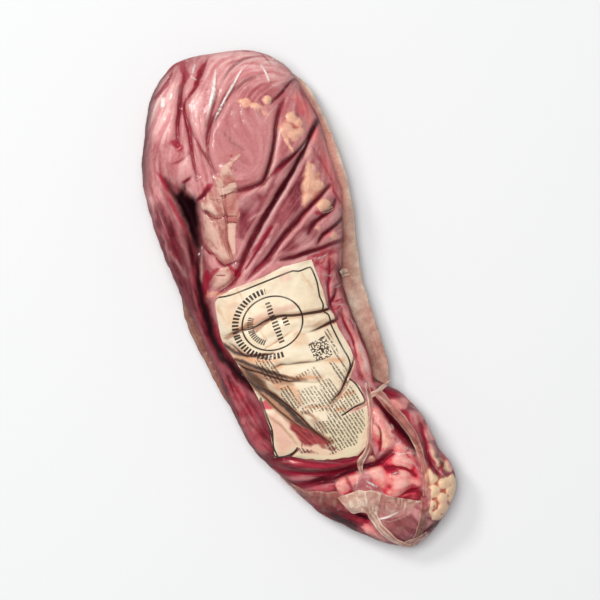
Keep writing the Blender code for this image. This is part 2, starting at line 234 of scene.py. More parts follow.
def smooth_between(before, start, end, after, share):
    """A smooth curve from start to end, led by the values before and after them."""
    return 0.5 * (
        2 * start
        + (end - before) * share
        + (2 * before - 5 * start + 4 * end - after) * share**2
        + (3 * start - before - 3 * end + after) * share**3
    )


def end_share(y):
    """Where a ring lies, counted so that a round end has an even slope there."""
    share = np.clip((y - TAIL_Y) / (HEAD_Y - TAIL_Y), 0, 1)
    return np.arccos(1 - 2 * share) / math.pi


def read_table(table, column, y):
    rows = np.array(table) * MM
    places, here = end_share(rows[:, 0]), end_share(y)
    first = np.clip(np.searchsorted(places, here, side="right") - 1, 0, len(rows) - 2)
    share = np.clip((here - places[first]) / (places[first + 1] - places[first]), 0, 1)
    four = [rows[np.clip(first + step, 0, len(rows) - 1), column] for step in (-1, 0, 1, 2)]
    return smooth_between(*four, share)


def smoothstep(value):
    share = np.clip(value, 0, 1)
    return share * share * (3 - 2 * share)


def grain(x, y, cell, seed):
    """Smooth random values from -1 to 1 over the plan, in cells of this size."""
    table = np.random.default_rng(seed).uniform(-1, 1, (64, 64))
    across, along = x / cell + 640, y / cell + 640
    i, j = np.floor(across).astype(int), np.floor(along).astype(int)
    u, v = smoothstep(across - i), smoothstep(along - j)
    low = table[i % 64, j % 64] * (1 - u) + table[(i + 1) % 64, j % 64] * u
    high = table[i % 64, (j + 1) % 64] * (1 - u) + table[(i + 1) % 64, (j + 1) % 64] * u
    return low * (1 - v) + high * v


def section_at(y, inset):
    """Left edge, right edge, crown and end rounding of the cut at y."""
    left = read_table(OUTLINE, 1, y) + inset
    right = read_table(OUTLINE, 2, y) - inset
    crown = read_table(CROWN, 1, y) - inset
    share = np.minimum(1, np.minimum((y - TAIL_Y) / TAIL_ROUNDING, (HEAD_Y - y) / HEAD_ROUNDING))
    fullness = np.sqrt(np.clip(1 - (1 - share) ** 2, 0, 1))
    return left, np.maximum(right, left + 0.1 * MM), crown, fullness


def along_path(points, steps=6):
    """The points of a path on a smooth curve through its own points, in metres."""
    own = np.array(points, float) * MM
    drawn = []
    for i in range(len(own) - 1):
        four = [own[min(len(own) - 1, max(0, i + step))] for step in (-1, 0, 1, 2)]
        drawn += [smooth_between(*four, step / steps) for step in range(steps)]
    return np.array([*drawn, own[-1]])


TINY = 1e-12  # stands in for a run of no length


def path_gap(x, y, points):
    """Distance from each place to a path in plan, and the path's third value at the nearest point."""
    drawn = along_path(points)
    gap, value = np.full(x.shape, np.inf), np.zeros(x.shape)
    for start, end in zip(drawn, drawn[1:]):
        run = end - start
        share = ((x - start[0]) * run[0] + (y - start[1]) * run[1]) / max(TINY, run[0] ** 2 + run[1] ** 2)
        share = np.clip(share, 0, 1)
        distance = np.hypot(x - start[0] - share * run[0], y - start[1] - share * run[1])
        nearer = distance < gap
        gap = np.where(nearer, distance, gap)
        value = np.where(nearer, start[2] + share * run[2], value)
    return gap, value


def near(x, y, points, reach):
    """Which places lie close enough to some points in plan to be worth working out."""
    own = np.array(points, float)[:, :2] * MM
    low, high = own.min(0) - reach, own.max(0) + reach
    return (x > low[0]) & (x < high[0]) & (y > low[1]) & (y < high[1])


def stroke(x, y, width, points):
    """A brush stroke in plan: the third value of each point is its strength."""
    total = np.zeros(x.shape)
    close = near(x, y, points, 3 * width * MM)
    gap, strength = path_gap(x[close], y[close], points)
    total[close] = strength / MM * np.exp(-((gap / (width * MM)) ** 2))
    return total


def patch(x, y, corners, soft):
    """1 inside a closed outline in plan, falling to 0 over soft millimetres at its edge."""
    total = np.zeros(x.shape)
    close = near(x, y, corners, soft * MM)
    px, py = x[close], y[close]
    own = np.array(corners, float) * MM
    inside, gap = np.zeros(px.shape, bool), np.full(px.shape, np.inf)
    for start, end in zip(own, np.roll(own, -1, axis=0)):
        run = end - start
        share = np.clip(((px - start[0]) * run[0] + (py - start[1]) * run[1]) / (run @ run), 0, 1)
        gap = np.minimum(gap, np.hypot(px - start[0] - share * run[0], py - start[1] - share * run[1]))
        crosses = (start[1] > py) != (end[1] > py)
        rise = np.where(np.abs(run[1]) < TINY, TINY, run[1])
        inside ^= crosses & (px < start[0] + run[0] * (py - start[1]) / rise)
    total[close] = smoothstep(0.5 + np.where(inside, gap, -gap) / (soft * MM))
    return total


def dome(x, y, across, along, radius, rise, roundness):
    gap = np.hypot(x - across * MM, y - along * MM) / (radius * MM)
    return rise * np.clip(1 - gap**2, 0, 1) ** roundness


# Folds, clods and colours are drawn on a plan of the cut: a table of places half a millimetre apart.
PLAN_STEP = 0.5 * MM
PLAN_HALVES = (76, 186)  # half its width and half its length
PLAN_X, PLAN_Y = np.meshgrid(*(np.arange(-half, half + 0.1, 0.5) * MM for half in PLAN_HALVES))
# The same places pushed about a little, so that whatever is drawn on them gets an uneven edge
LOOSE_X = PLAN_X + (0.6 * grain(PLAN_X, PLAN_Y, 5 * MM, 11) + 0.35 * grain(PLAN_X, PLAN_Y, 2.2 * MM, 12)) * MM
LOOSE_Y = PLAN_Y + (0.6 * grain(PLAN_X, PLAN_Y, 5 * MM, 13) + 0.35 * grain(PLAN_X, PLAN_Y, 2.2 * MM, 14)) * MM


def read_plan(table, x, y):
    """The value of a plan table at each place, even between its own places."""
    i = np.clip((y - PLAN_Y[0, 0]) / PLAN_STEP, 0, table.shape[0] - 1.001)
    j = np.clip((x - PLAN_X[0, 0]) / PLAN_STEP, 0, table.shape[1] - 1.001)
    row, column = i.astype(int), j.astype(int)
    u, v = j - column, i - row
    low = table[row, column] * (1 - u) + table[row, column + 1] * u
    high = table[row + 1, column] * (1 - u) + table[row + 1, column + 1] * u
    return low * (1 - v) + high * v


def softened(table, radius):
    """A plan table blurred over this radius."""
    waves_along = np.fft.fftfreq(table.shape[0], PLAN_STEP)[:, None]
    waves_across = np.fft.rfftfreq(table.shape[1], PLAN_STEP)
    fade = np.exp(-2 * (math.pi * radius) ** 2 * (waves_along**2 + waves_across**2))
    return np.fft.irfft2(np.fft.rfft2(table) * fade, table.shape)


def brushed(x, y, strokes):
    """The strongest brush stroke at each place. Strokes are a width and the paths of all strokes that wide."""
    mask = np.zeros(x.shape)
    for width, *paths in strokes:
        for points in paths:
            mask = np.maximum(mask, stroke(x, y, width, points))
    return mask


def painted(patches=(), strokes=(), marks=()):
    """A mask over the plan: at each place the strongest of its patches (strength, softness, corners), brush
    strokes and round marks (across, along, radius, strength)."""
    mask = brushed(LOOSE_X, LOOSE_Y, strokes)
    for strength, soft, corners in patches:
        mask = np.maximum(mask, strength * patch(LOOSE_X, LOOSE_Y, corners, soft))
    for across, along, radius, strength in marks:
        gap = np.hypot(LOOSE_X - across * MM, LOOSE_Y - along * MM) / (radius * MM)
        mask = np.maximum(mask, strength * smoothstep((1.3 - gap) / 0.7))
    return mask


# How the fibres and the film's small wrinkles run where no valley says so
GUIDES = (
    ((-57, 112), (-60, 60), (-60, 0), (-57, -50), (-50, -85)), ((-50, 90), (-50, 40)), ((-62, 30), (-61, -50)),
    ((-46, 124), (-38, 135), (-24, 142)), ((-40, 110), (-34, 126), (-22, 138)), ((-42, 150), (-30, 163)),
    ((2, 122), (5, 112), (12, 100)), ((20, 126), (24, 110), (20, 96)), ((-6, 118), (-4, 100), (6, 90)),
    ((10, 168), (30, 163), (46, 152)), ((30, 154), (44, 146), (52, 136)), ((57, 130), (60, 110), (58, 80), (56, 60)),
    ((-8, 66), (6, 72), (20, 82)), ((-10, 50), (4, 58), (20, 68)), ((-18, 92), (-22, 66), (-26, 44)),
    ((28, 10), (28, -30), (31, -64)), ((-34, -128), (-24, -142), (-8, -160)), ((6, -154), (14, -170)),
    ((44, -80), (52, -100), (54, -124)), ((20, -76), (28, -96)), ((18, -128), (30, -136)),
)

GROOVE_WIDTH = 6  # a valley this wide turns no fibres


def flow_over_plan():
    """The way the fibres run at every place, as a unit step across and along."""
    middles, turns = [], []
    for points in (*GUIDES, *(points for width, _, points in VALLEYS if width < GROOVE_WIDTH)):
        drawn = along_path([point[:2] for point in points], steps=3)
        run = np.diff(drawn, axis=0)
        doubled = 2 * np.arctan2(run[:, 1], run[:, 0])
        middles.append((drawn[1:] + drawn[:-1]) / 2)
        turns.append(np.stack([np.cos(doubled), np.sin(doubled)], 1) * np.hypot(*run.T)[:, None])
    middles, turns = np.concatenate(middles), np.concatenate(turns)
    every = 6  # the flow is worked out at every sixth place and spread between them
    coarse = (slice(None, None, every), slice(None, None, every))
    gap = np.hypot(PLAN_X[coarse][..., None] - middles[:, 0], PLAN_Y[coarse][..., None] - middles[:, 1])
    doubled = (1 / (gap + 3 * MM) ** 3) @ turns
    doubled /= np.hypot(doubled[..., 0], doubled[..., 1])[..., None]
    spread = np.kron(doubled, np.ones((every, every, 1)))[: PLAN_X.shape[0], : PLAN_X.shape[1]]
    across, along = softened(spread[..., 0], 3 * MM), softened(spread[..., 1], 3 * MM)
    turn = np.arctan2(along, across) / 2
    return np.cos(turn), np.sin(turn)


FLOW_ACROSS, FLOW_ALONG = flow_over_plan()


def combed(cell, reach, seed):
    """Random grain drawn out along the flow over this reach, as values around 0.5."""
    speckle = grain(PLAN_X, PLAN_Y, cell, seed) + 0.7 * grain(PLAN_X, PLAN_Y, 0.6 * cell, seed + 1)
    total = speckle.copy()
    for way in (1, -1):
        x, y, across, along = PLAN_X, PLAN_Y, way * FLOW_ACROSS, way * FLOW_ALONG
        for _ in range(int(reach / MM)):
            x, y = x + across * MM, y + along * MM
            i = np.clip(((y - PLAN_Y[0, 0]) / PLAN_STEP).astype(int), 0, PLAN_X.shape[0] - 1)
            j = np.clip(((x - PLAN_X[0, 0]) / PLAN_STEP).astype(int), 0, PLAN_X.shape[1] - 1)
            same = np.sign(FLOW_ACROSS[i, j] * across + FLOW_ALONG[i, j] * along + 1e-9)
            across, along = FLOW_ACROSS[i, j] * same, FLOW_ALONG[i, j] * same
            total = total + speckle[i, j]
    return 0.5 + 0.2 * total / total.std()


fine_streaks = combed(1.3 * MM, 7 * MM, 41)
broad_streaks = combed(3.6 * MM, 12 * MM, 51)


def meat_rise_over_plan():
    """How far folds and clods lift the meat at each place in plan, in metres."""
    total = sum(stroke(PLAN_X, PLAN_Y, width, points) for width, _, points in VALLEYS)
    total = total + sum(stroke(PLAN_X, PLAN_Y, width, points) for width, points in (*LABEL_CREASES, *LABEL_ROLLS))
    for lump in LUMPS:
        total = total + dome(LOOSE_X, LOOSE_Y, *lump, LUMP_ROUNDNESS)
    lobes = sum(np.exp(LOBE_BLEND * dome(LOOSE_X, LOOSE_Y, *lobe, FAT_LOBE_RISE, 1.0)) - 1 for lobe in FAT_LOBES)
    total = total + np.log(1 + lobes) / LOBE_BLEND
    total = total + 0.35 * grain(PLAN_X, PLAN_Y, 13 * MM, 3) + 0.5 * (broad_streaks - 0.5)
    return total * MM


meat_rise = meat_rise_over_plan()


def top_fade(arch, fullness):
    return smoothstep(arch / 0.35) * smoothstep(fullness / 0.35)


def top_height(x, y, inset, rise):
    """Height of the upper side at each place in plan."""
    left, right, crown, fullness = section_at(y, inset)
    middle, half = (left + right) / 2, (right - left) / 2
    share = np.clip(1 - np.abs((x - middle) / half) ** CROWN_POWER, 0, 1)
    arch = share ** (1 / CROWN_POWER)
    waist = crown * WIDEST_AT
    return waist + (crown - waist) * fullness * arch + read_plan(rise, x, y) * top_fade(arch, fullness)


def vertex_places(mesh):
    places = np.empty(len(mesh.vertices) * 3)
    mesh.vertices.foreach_get("co", places)
    return places.reshape(-1, 3)


def move_vertices(mesh, x, y, z):
    mesh.vertices.foreach_set("co", np.stack([x, y, z], 1).ravel())
    mesh.update()


def power(value, exponent):
    return np.sign(value) * np.abs(value) ** exponent


def form_mesh(name, inset, rise):
    """The whole form, as a ball whose rings become the sections of the cut."""
    bm = bmesh.new()
    bmesh.ops.create_uvsphere(bm, u_segments=FINE_SIDES, v_segments=FINE_RINGS, radius=1.0)
    mesh = bpy.data.meshes.new(name)
    bm.to_mesh(mesh)
    bm.free()
    ball = vertex_places(mesh)
    along = np.arccos(np.clip(-ball[:, 2], -1, 1)) / math.pi
    turn = np.arctan2(ball[:, 1], ball[:, 0])
    turn = turn + SIDE_BUNCHING * np.cos(turn)
    bunched = (1 - np.cos(math.pi * along)) / 2
    y = TAIL_Y + (HEAD_Y - TAIL_Y) * (along + (bunched - along) * RING_BUNCHING)
    left, right, crown, fullness = section_at(y, inset)
    middle, half, waist = (left + right) / 2, (right - left) / 2, crown * WIDEST_AT
    upper = np.sin(turn) >= 0
    arch = np.abs(np.sin(turn)) ** (2 / CROWN_POWER)
    x = middle + half * power(np.cos(turn), np.where(upper, 2 / CROWN_POWER, 2 / BASE_POWER))
    sole = np.abs(np.sin(turn)) ** (2 / BASE_POWER)
    z = np.where(upper, waist + (crown - waist) * fullness * arch, waist - (waist + BASE_SINK) * fullness * sole)
    z = np.where(upper, z + read_plan(rise, x, y) * top_fade(arch, fullness), z)
    # the film's pleats run aslant down the sides
    pleat = grain(y + 0.5 * z, 0.3 * z, 6 * MM, 61) + 0.5 * grain(y - 0.4 * z, 0.3 * z, 2.6 * MM, 62)
    steep = smoothstep((0.8 - np.where(upper, arch, sole)) / 0.4) * smoothstep(fullness / 0.5)
    x = x + np.sign(np.cos(turn)) * PLEAT_DEPTH * pleat * steep
    z = np.maximum(z, 0.5 * inset)
    y = np.clip(y, TAIL_Y + inset, HEAD_Y - inset)
    move_vertices(mesh, x, y, z)
    bm = bmesh.new()
    bm.from_mesh(mesh)
    bmesh.ops.recalc_face_normals(bm, faces=bm.faces)
    bm.to_mesh(mesh)
    bm.free()
    mesh.shade_smooth()
    piece = bpy.data.objects.new(name, mesh)
    scene.collection.objects.link(piece)
    return piece, x, y, z, np.where(upper, top_fade(arch, fullness), 0)


def keep_mask(piece, name, values):
    """Keeps a value for every vertex, for the material to read."""
    attribute = piece.data.attributes.new(name, "FLOAT", "POINT")
    attribute.data.foreach_set("value", np.clip(values, 0, 1).astype(np.float32))


# Blood in the valleys, in smears and small pools, with painted shade along the valleys, nearly black in the deepest
# grooves
BLOOD_SPREAD, BLOOD_REACH = 0.62, 1.15  # its share of a valley's width, and how far it reaches up the valley's ends
CORE_SPREAD, THINNEST_CORE = 0.34, 0.7
blood_and_shade = np.zeros(PLAN_X.shape)
for width, run_in, points in VALLEYS:
    depth = max(-rise for _, _, rise in points)
    pooled = [(across, along, min(1, -rise / depth * BLOOD_REACH)) for across, along, rise in points]
    if run_in > 0:
        blood_and_shade = np.maximum(blood_and_shade, run_in * stroke(PLAN_X, PLAN_Y, width * BLOOD_SPREAD, pooled))
blood_and_shade = np.maximum(blood_and_shade, painted(strokes=(
    (0.6, ((25, -27, 0.5), (26.6, -40, 0.6), (27, -52, 0.6), (25.6, -66, 0.4))),
    (0.7, ((-38, 108, 0.3), (-30, 107, 0.5), (-22, 108, 0.3)), ((14, 158, 0.2), (22, 162, 0.5), (30, 160, 0.3)),
        ((-4, 112, 0.2), (0, 104, 0.4), (6, 98, 0.3)), ((9, 98, 0.3), (10, 94, 0.4), (6, 90, 0.2)),
        ((-6, 58, 0.3), (0, 56, 0.5), (8, 58, 0.3)), ((-8, 54, 0.3), (-2, 52.5, 0.5), (4, 54, 0.3)),
        ((-12, 50, 0.3), (-6, 48.5, 0.5), (0, 50, 0.3)), ((28, 14, 0.4), (33, 12, 0.8), (38, 15, 0.5)),
        ((27, 5, 0.6), (31, 7, 0.8), (34, 11, 0.5)), ((24, -6, 0.8), (28, -7.5, 0.9), (34, -8, 0.7)),
        ((30, -16, 0.5), (33, -25, 0.7), (33, -33, 0.5))),
    (0.8, ((-52, 124, 0.3), (-46, 128, 0.5), (-40, 130, 0.4), (-36, 129, 0.2)),
        ((-40, 116, 0.3), (-32, 115, 0.6), (-24, 116, 0.4)), ((-6, 155, 0.6), (-2, 158, 0.8), (3, 157, 0.4)),
        ((28, 154, 0.5), (36, 157, 0.5), (44, 162, 0.3)), ((34, 144, 0.3), (42, 147, 0.5), (50, 146, 0.3)),
        ((-2, 72, 0.3), (6, 74, 0.6), (12, 77, 0.5), (14, 80, 0.3)), ((2, 68, 0.3), (10, 70, 0.4), (20, 78, 0.3)),
        ((12, 60, 0.2), (20, 62, 0.5), (30, 68, 0.3)), ((52, 90, 0.5), (54, 82, 0.6), (52, 72, 0.4)),
        ((-62, 96, 0.3), (-58, 88, 0.6), (-57, 80, 0.6), (-59, 72, 0.3)),
        ((-60, 70, 0.5), (-58, 62, 0.7), (-55, 54, 0.5)), ((-56, 108, 0.4), (-54, 98, 0.6), (-53, 88, 0.3)),
        ((-62, 50, 0.4), (-60, 40, 0.6), (-61, 28, 0.4)), ((26, 18, 0.5), (31, 14, 0.7), (36, 16, 0.4)),
        ((25, 8, 0.4), (30, 10, 0.7), (35, 6, 0.5)), ((26, -2, 0.5), (31, -1, 0.6), (36, -6, 0.4)),
        ((27, -14, 0.5), (30, -24, 0.6), (28, -32, 0.4)), ((25, 22, 0.5), (29, 19, 0.8), (33, 21, 0.5)),
        ((36, 20, 0.6), (38, 10, 0.9), (38, 0, 0.8)), ((24.5, -13, 0.7), (29, -12, 0.8), (33, -9, 0.5))),
    (1, ((51.5, 92, 0.5), (52, 84, 0.5), (53, 76, 0.4))), (1.1, ((43, 164, 0.4), (46, 156, 0.7), (48, 150, 0.3))),
    (1.2, ((62, 137, 0.3), (59, 128, 0.6), (62, 118, 0.7), (63.5, 109, 0.9), (63, 100, 0.5)),
        ((1, 123, 0.2), (3, 117, 0.5), (7, 109, 0.45), (12, 100, 0.25)),
        ((-29, 79, 0.7), (-26.5, 77.5, 0.9), (-27, 75, 0.5))),
    (1.3, ((-28, 123, 0.7), (-27, 117, 0.4)), ((-1, 106, 0.6), (1, 105, 0.7)),
        ((36, 12, 0.5), (36, -6, 0.9), (36, -22, 1), (35.8, -40, 1), (34.8, -56, 0.8), (31.6, -68, 0.6))),
    (1.4, ((32, 168, 0.3), (35, 167, 0.8), (39, 165, 0.4)), ((-56, 20, 0.6), (-58, 0, 0.5), (-56, -20, 0.4))),
    (1.6, ((-35, 156, 0.4), (-27, 161, 0.9), (-20, 166, 0.9), (-15, 172, 0.6)),
        ((-21, 171, 0.3), (-13, 176, 0.9), (-6, 176, 0.9)), ((-34, 101, 0.8), (-30, 100.5, 0.9), (-28, 102, 0.5)),
        ((57, 92, 0.3), (53, 84, 0.6), (56, 70, 0.45), (55, 58, 0.7), (57, 46, 0.6)),
        ((54, -112, 0.4), (55, -124, 0.3), (52, -136, 0.7), (53, -141, 0.6)), ((38, -157, 0.7), (36, -161, 0.4)),
        ((-13, -127.5, 0.7), (-9, -127, 0.7))),
    (1.8, ((-29, 41, 0.3), (-26, 36, 0.8), (-23, 33, 0.8), (-27, 31, 0.6)),
        ((-13, -152, 0.6), (-9, -160, 0.5), (-3, -167, 0.5)), ((31, -100, 0.7), (34, -104, 0.9), (37, -113, 0.8)),
        ((42, -90, 0.7), (44, -94, 0.8), (43, -100, 0.6))),
    (2, ((-48, 114, 0.5), (-46.6, 110, 0.8), (-45.6, 103, 0.8), (-44.6, 98, 0.5)),
        ((-3, 156.5, 0.9), (-1, 160, 1), (4, 165, 1), (8, 169, 0.5)),
        ((-42, 37, 1), (-38, 40, 0.9), (-34, 40.4, 0.6)),
        ((-16, 38.5, 0.5), (-6, 44.5, 0.7), (2, 49.5, 0.6), (10, 55, 0.3)),
        ((-52, 22, 0.8), (-51, 10, 1), (-51, -4, 0.8), (-53, -14, 0.4)),
        ((28, -70, 0.8), (33, -88, 1), (38, -104, 1), (42, -118, 0.8)),
        ((22, -139, 0.4), (30, -138, 0.6), (34, -142, 0.6)),
        ((47, -110, 0.4), (48, -122, 0.6), (46, -134, 0.7), (51, -139, 0.5)),
        ((32, -169, 0.7), (24, -173, 0.8), (18, -174, 0.6)), ((-9, -115.6, 0.4), (-7.4, -120, 0.7), (-8, -126, 0.6))),
    (2.2, ((-30, 87, 0.7), (-25, 88, 1), (-20, 92, 1), (-16, 91, 0.3)),
        ((44, 47, 0.6), (40, 49, 0.8), (37, 51, 0.5))),
    (2.4, ((-49, 100, 0.3), (-46.8, 92, 0.7), (-45.6, 84, 0.7), (-45, 76, 0.7), (-46, 64, 0.4)),
        ((-5, 175, 0.9), (-7, 170, 1), (-6, 165, 0.8), (-9, 161, 0.6)),
        ((-42, 41, 0.8), (-45, 36, 1), (-48, 31, 1), (-51, 27, 0.7)),
        ((-52, -88, 0.4), (-40, -96, 0.8), (-26, -102, 0.8), (-10, -108, 0.7), (6, -110, 0.4)),
        ((19, -118, 0.6), (20, -123, 1), (24, -126, 0.8))),
    (2.6, ((-10, -142, 1), (-7, -147, 1), (-5, -152, 0.6))),
    (3, ((-32, 128, 0.6), (-29.5, 126, 1), (-28, 122, 0.9)),
        ((24, 26, 0.6), (34, 24, 0.8), (44, 24, 0.6), (50, 28, 0.6))),
    (4, ((40, -77, 1), (36, -76, 1), (44, -80, 0.7))),
    (5, ((-38, -124, 0.3), (-30, -134, 0.7), (-22, -143, 1), (-14, -149, 0.8))),
)))
# a thin dark line of painted shade runs down the middle of each valley
core_shade = np.zeros(PLAN_X.shape)
for width, run_in, points in VALLEYS:
    depth = max(-rise for _, _, rise in points)
    pooled = [(across, along, min(1, -rise / depth)) for across, along, rise in points]
    drawn = stroke(PLAN_X, PLAN_Y, max(THINNEST_CORE, width * CORE_SPREAD), pooled)
    core_shade = np.maximum(core_shade, min(1, 1.1 * run_in) * drawn)
# painted shade, nearly black, in the deepest grooves and hollows and under the loose folds
deep_shade = painted(patches=(
    (1, 5, ((-43.6, 103), (-41, 96.5), (-38, 97.5), (-35.6, 99.5), (-35.4, 94), (-32, 91), (-30.4, 90), (-31, 84),
        (-33, 78), (-35.6, 71), (-38, 64), (-39.4, 58), (-43.5, 55), (-43.8, 64), (-43.4, 76), (-43.6, 88),
        (-44.6, 96))),
    (1, 5, ((-43, 58), (-40.6, 58), (-45, 46), (-48, 34), (-50, 26), (-50, 12), (-53, 2), (-51, -14), (-44, -30),
        (-41, -40), (-44, -42), (-50, -30), (-57, -12), (-58, 6), (-56, 22), (-52, 38), (-47, 50))),
), strokes=(
    (0.8, ((11, 140.5, 0.2), (3.5, 134, 0.35), (-4, 128.5, 0.35), (-9, 121, 0.2))),
    (0.9, ((-13, 158, 0.25), (-19.5, 145, 0.35), (-24, 136, 0.2))),
    (1, ((48, 95.5, 0.4), (38, 90, 0.7), (28, 86.5, 0.5)),
        ((53, 54, 0.5), (46, 48.3, 0.75), (36, 45, 0.7), (29, 40.5, 0.5)),
        ((56, 43, 0.5), (48, 39, 0.75), (38, 36, 0.75), (32, 32, 0.5)),
        ((1, 123, 0.15), (4, 115, 0.3), (9, 105, 0.25))),
    (1.1, ((41, 121, 0.4), (36, 114, 0.6), (29, 101, 0.75), (21, 89.5, 0.8), (14, 82.5, 0.75), (4, 81.3, 0.5),
        (-6, 82.5, 0.4)),
        ((52, 63, 0.6), (43, 59, 0.7), (34, 54.8, 0.75), (22, 48.5, 0.65), (8, 41, 0.6), (-4, 34, 0.4)),
        ((-35, 97, 0.9), (-33, 100, 0.8), (-30, 101, 0.7), (-28, 102.4, 0.3))),
    (1.2, ((-50, 108, 0.2), (-50, 96, 0.4), (-48.5, 84, 0.4), (-48, 70, 0.3)),
        ((-60, 106, 0.1), (-64, 92, 0.4), (-65.5, 76, 0.4), (-66, 64, 0.4)),
        ((6, 30.3, 0.5), (14, 29.2, 0.8), (24, 28.6, 0.75), (34, 28, 0.6), (46, 27.4, 0.5)),
        ((-31, 88, 0.8), (-26, 87.5, 0.9), (-21, 91, 0.6)), ((24, -19, 0.5), (30, -14, 0.4))),
    (1.3, ((-44.6, 108, 0.6), (-44, 102, 0.8), (-42, 96, 0.8))),
    (1.4, ((58, 137, 0.2), (52, 134.5, 0.4), (45, 130.5, 0.4), (39, 128, 0.3)),
        ((22, -9.5, 0.5), (28, -5, 0.6), (34, 2, 0.3))),
    (1.5, ((64, 107.5, 0.5), (60, 105.5, 0.85), (54, 99.5, 0.9), (46, 91.5, 0.85), (38, 84.5, 0.9), (28, 76.5, 0.95),
        (18, 69, 0.9), (6, 59.5, 0.75), (-6, 49.5, 0.65), (-18, 38, 0.5))),
    (1.6, ((-54, 94, 0.2), (-53.5, 80, 0.4), (-52, 64, 0.5), (-54, 48, 0.6), (-57, 34, 0.7), (-59, 20, 0.6)),
        ((47, -108, 0.35), (46.5, -122, 0.45), (47, -136, 0.5), (50, -141, 0.4)),
        ((52, -126, 0.5), (53.5, -134, 0.6), (53, -140, 0.4)),
        ((37.6, 12, 0.4), (37.2, -8, 0.7), (37, -30, 0.7), (36.6, -52, 0.7), (33.6, -66, 0.5))),
    (1.8, ((-36, -112, 0.3), (-26, -112.5, 0.8), (-14, -114.5, 0.7), (2, -114.5, 0.9), (14, -116, 0.7),
        (22, -114, 0.4))),
    (2, ((-47, 74, 0.4), (-46.5, 62, 0.6), (-49, 50, 0.7)),
        ((-50, -86, 0.35), (-40, -97, 0.6), (-28, -104.5, 0.7), (-14, -109, 0.6), (-2, -110.5, 0.5))),
    (2.2, ((29, -76, 0.5), (33, -90, 0.8), (38, -104, 0.9), (41, -116, 0.8)),
        ((-40, 70, 0.6), (-42, 62, 0.6), (-44, 54, 0.5))),
    (2.4, ((-66, 66, 0.3), (-67, 50, 0.7), (-66.5, 34, 0.9), (-65, 10, 0.9), (-65, -12, 0.7), (-64, -40, 0.6),
        (-62.5, -62, 0.7), (-59, -82, 0.7), (-53, -96, 0.8), (-47, -108, 0.9), (-41, -122, 1), (-36, -133, 1),
        (-26, -144, 1), (-14, -156, 0.8), (-4, -166, 0.5)), ((-10, -144, 0.9), (-6, -147, 0.9))),
    (2.6, ((26, -172, 0.8), (34, -169.5, 0.9), (42, -169, 0.7))),
    (2.8, ((20, -173, 0.9), (26, -166, 1), (31, -158, 0.7))), (3, ((34, -74, 0.5), (42, -75, 0.6), (48, -79, 0.4))),
    (4, ((-30, -132, 0.6), (-23, -141, 1), (-16, -149, 0.9))),
    (5, ((-58, 66, 0.1), (-57, 50, 0.32), (-58, 34, 0.3), (-59, 18, 0.1))),
))

fat = painted(patches=(
    (1, 2, ((40.5, -134), (44, -132.5), (48, -137), (50.5, -142), (53, -141), (57.5, -143), (59, -149), (56, -155.5),
        (50, -160.5), (44, -166), (38, -168), (33.5, -165), (33.5, -158), (37.5, -152), (40, -146), (38.5, -140))),
    (0.6, 2, ((49, -127), (54, -128), (57.5, -134), (57, -141), (54, -139), (51, -134))),
    (0.62, 5, ((44, 84), (49, 81), (50, 77), (49, 71), (51, 66), (50, 62), (44, 60.4), (38, 58), (33, 55.6), (31, 58),
        (33, 63), (36, 70), (40, 78))),
    (0.6, 4, ((37, 104), (36.5, 110), (38, 112), (44, 115), (45, 118), (50, 117.5), (51.5, 112), (52, 107),
        (50.5, 101), (46, 98.5), (42, 98), (39, 101))),
    (0.8, 2, ((36, 112), (35.5, 104), (37, 95), (38.5, 91), (40.5, 92), (39.5, 98), (38.5, 106), (38, 112))),
    (0.45, 3, ((20, -96), (29, -96), (30, -104), (26, -110), (19, -108))),
    (0.35, 3, ((7, -117), (12, -116), (13, -128), (18, -138), (12, -138))),
), strokes=(
    (1.2, ((43, 80, 0.7), (38, 68, 0.9)), ((50, 68, 0.8), (49, 63, 0.9))),
    (1.3, ((46, 85, 0.6), (42, 74, 0.9), (36, 62, 1), (33, 57, 0.8))),
    (1.5, ((49.5, 74, 0.7), (46, 67, 1), (40, 60, 0.9)),
        ((26, 128.4, 0.3), (29, 124.4, 0.55), (34, 120.4, 0.5), (38, 119, 0.2))),
    (1.6, ((44, 86.5, 0.4), (48, 88, 0.6), (50, 90, 0.3))),
    (1.8, ((51, -118, 0.3), (51, -125, 0.7), (50.5, -133, 0.5))),
    (1.9, ((17, 136.4, 0.5), (22.5, 134, 1), (26.5, 130, 0.9), (30.5, 126.5, 0.6))),
    (2, ((30.5, -37, 0.2), (32.6, -47, 0.4), (31, -62, 0.3))),
    (2.2, ((-50, 29, 0.8), (-46, 27.3, 0.9), (-41, 25, 0.8), (-37, 24, 0.4))),
), marks=(
    (22, 133.4, 3.4, 0.9), (36.2, 129.6, 3, 1), (46, 114, 3.2, 1), (49.5, 109, 3, 0.9), (44.8, 53, 4.4, 1),
    (36, 41, 2, 0.6), (43.5, 32, 3, 0.5), (49, 34, 2, 0.4), (36, 22, 2.2, 0.4), (29, 25, 2.2, 0.4),
    (24, -104, 4, 0.5), (-12, -118.5, 3, 0.4), (-14, -123, 2.6, 0.4), (12, -112, 3, 0.5), (-5.5, 97, 2.6, 0.6),
    (-13, 94, 2, 0.5),
))
sinew = painted(strokes=(
    (1.2, ((-39, 58, 0.6), (-40, 54, 0.4))), (1.6, ((-44, 47, 0.9), (-46, 42, 1), (-48.5, 36, 0.6))),
    (2.4, ((36, 16, 0.35), (33, 4, 0.4), (29, -12, 0.3))), (2.6, ((20, -92, 0.4), (16, -102, 0.5), (10, -109, 0.5))),
    (2.8, ((40, 119, 0.35), (31, 103, 0.5), (22, 88, 0.55), (14, 78, 0.5))),
))
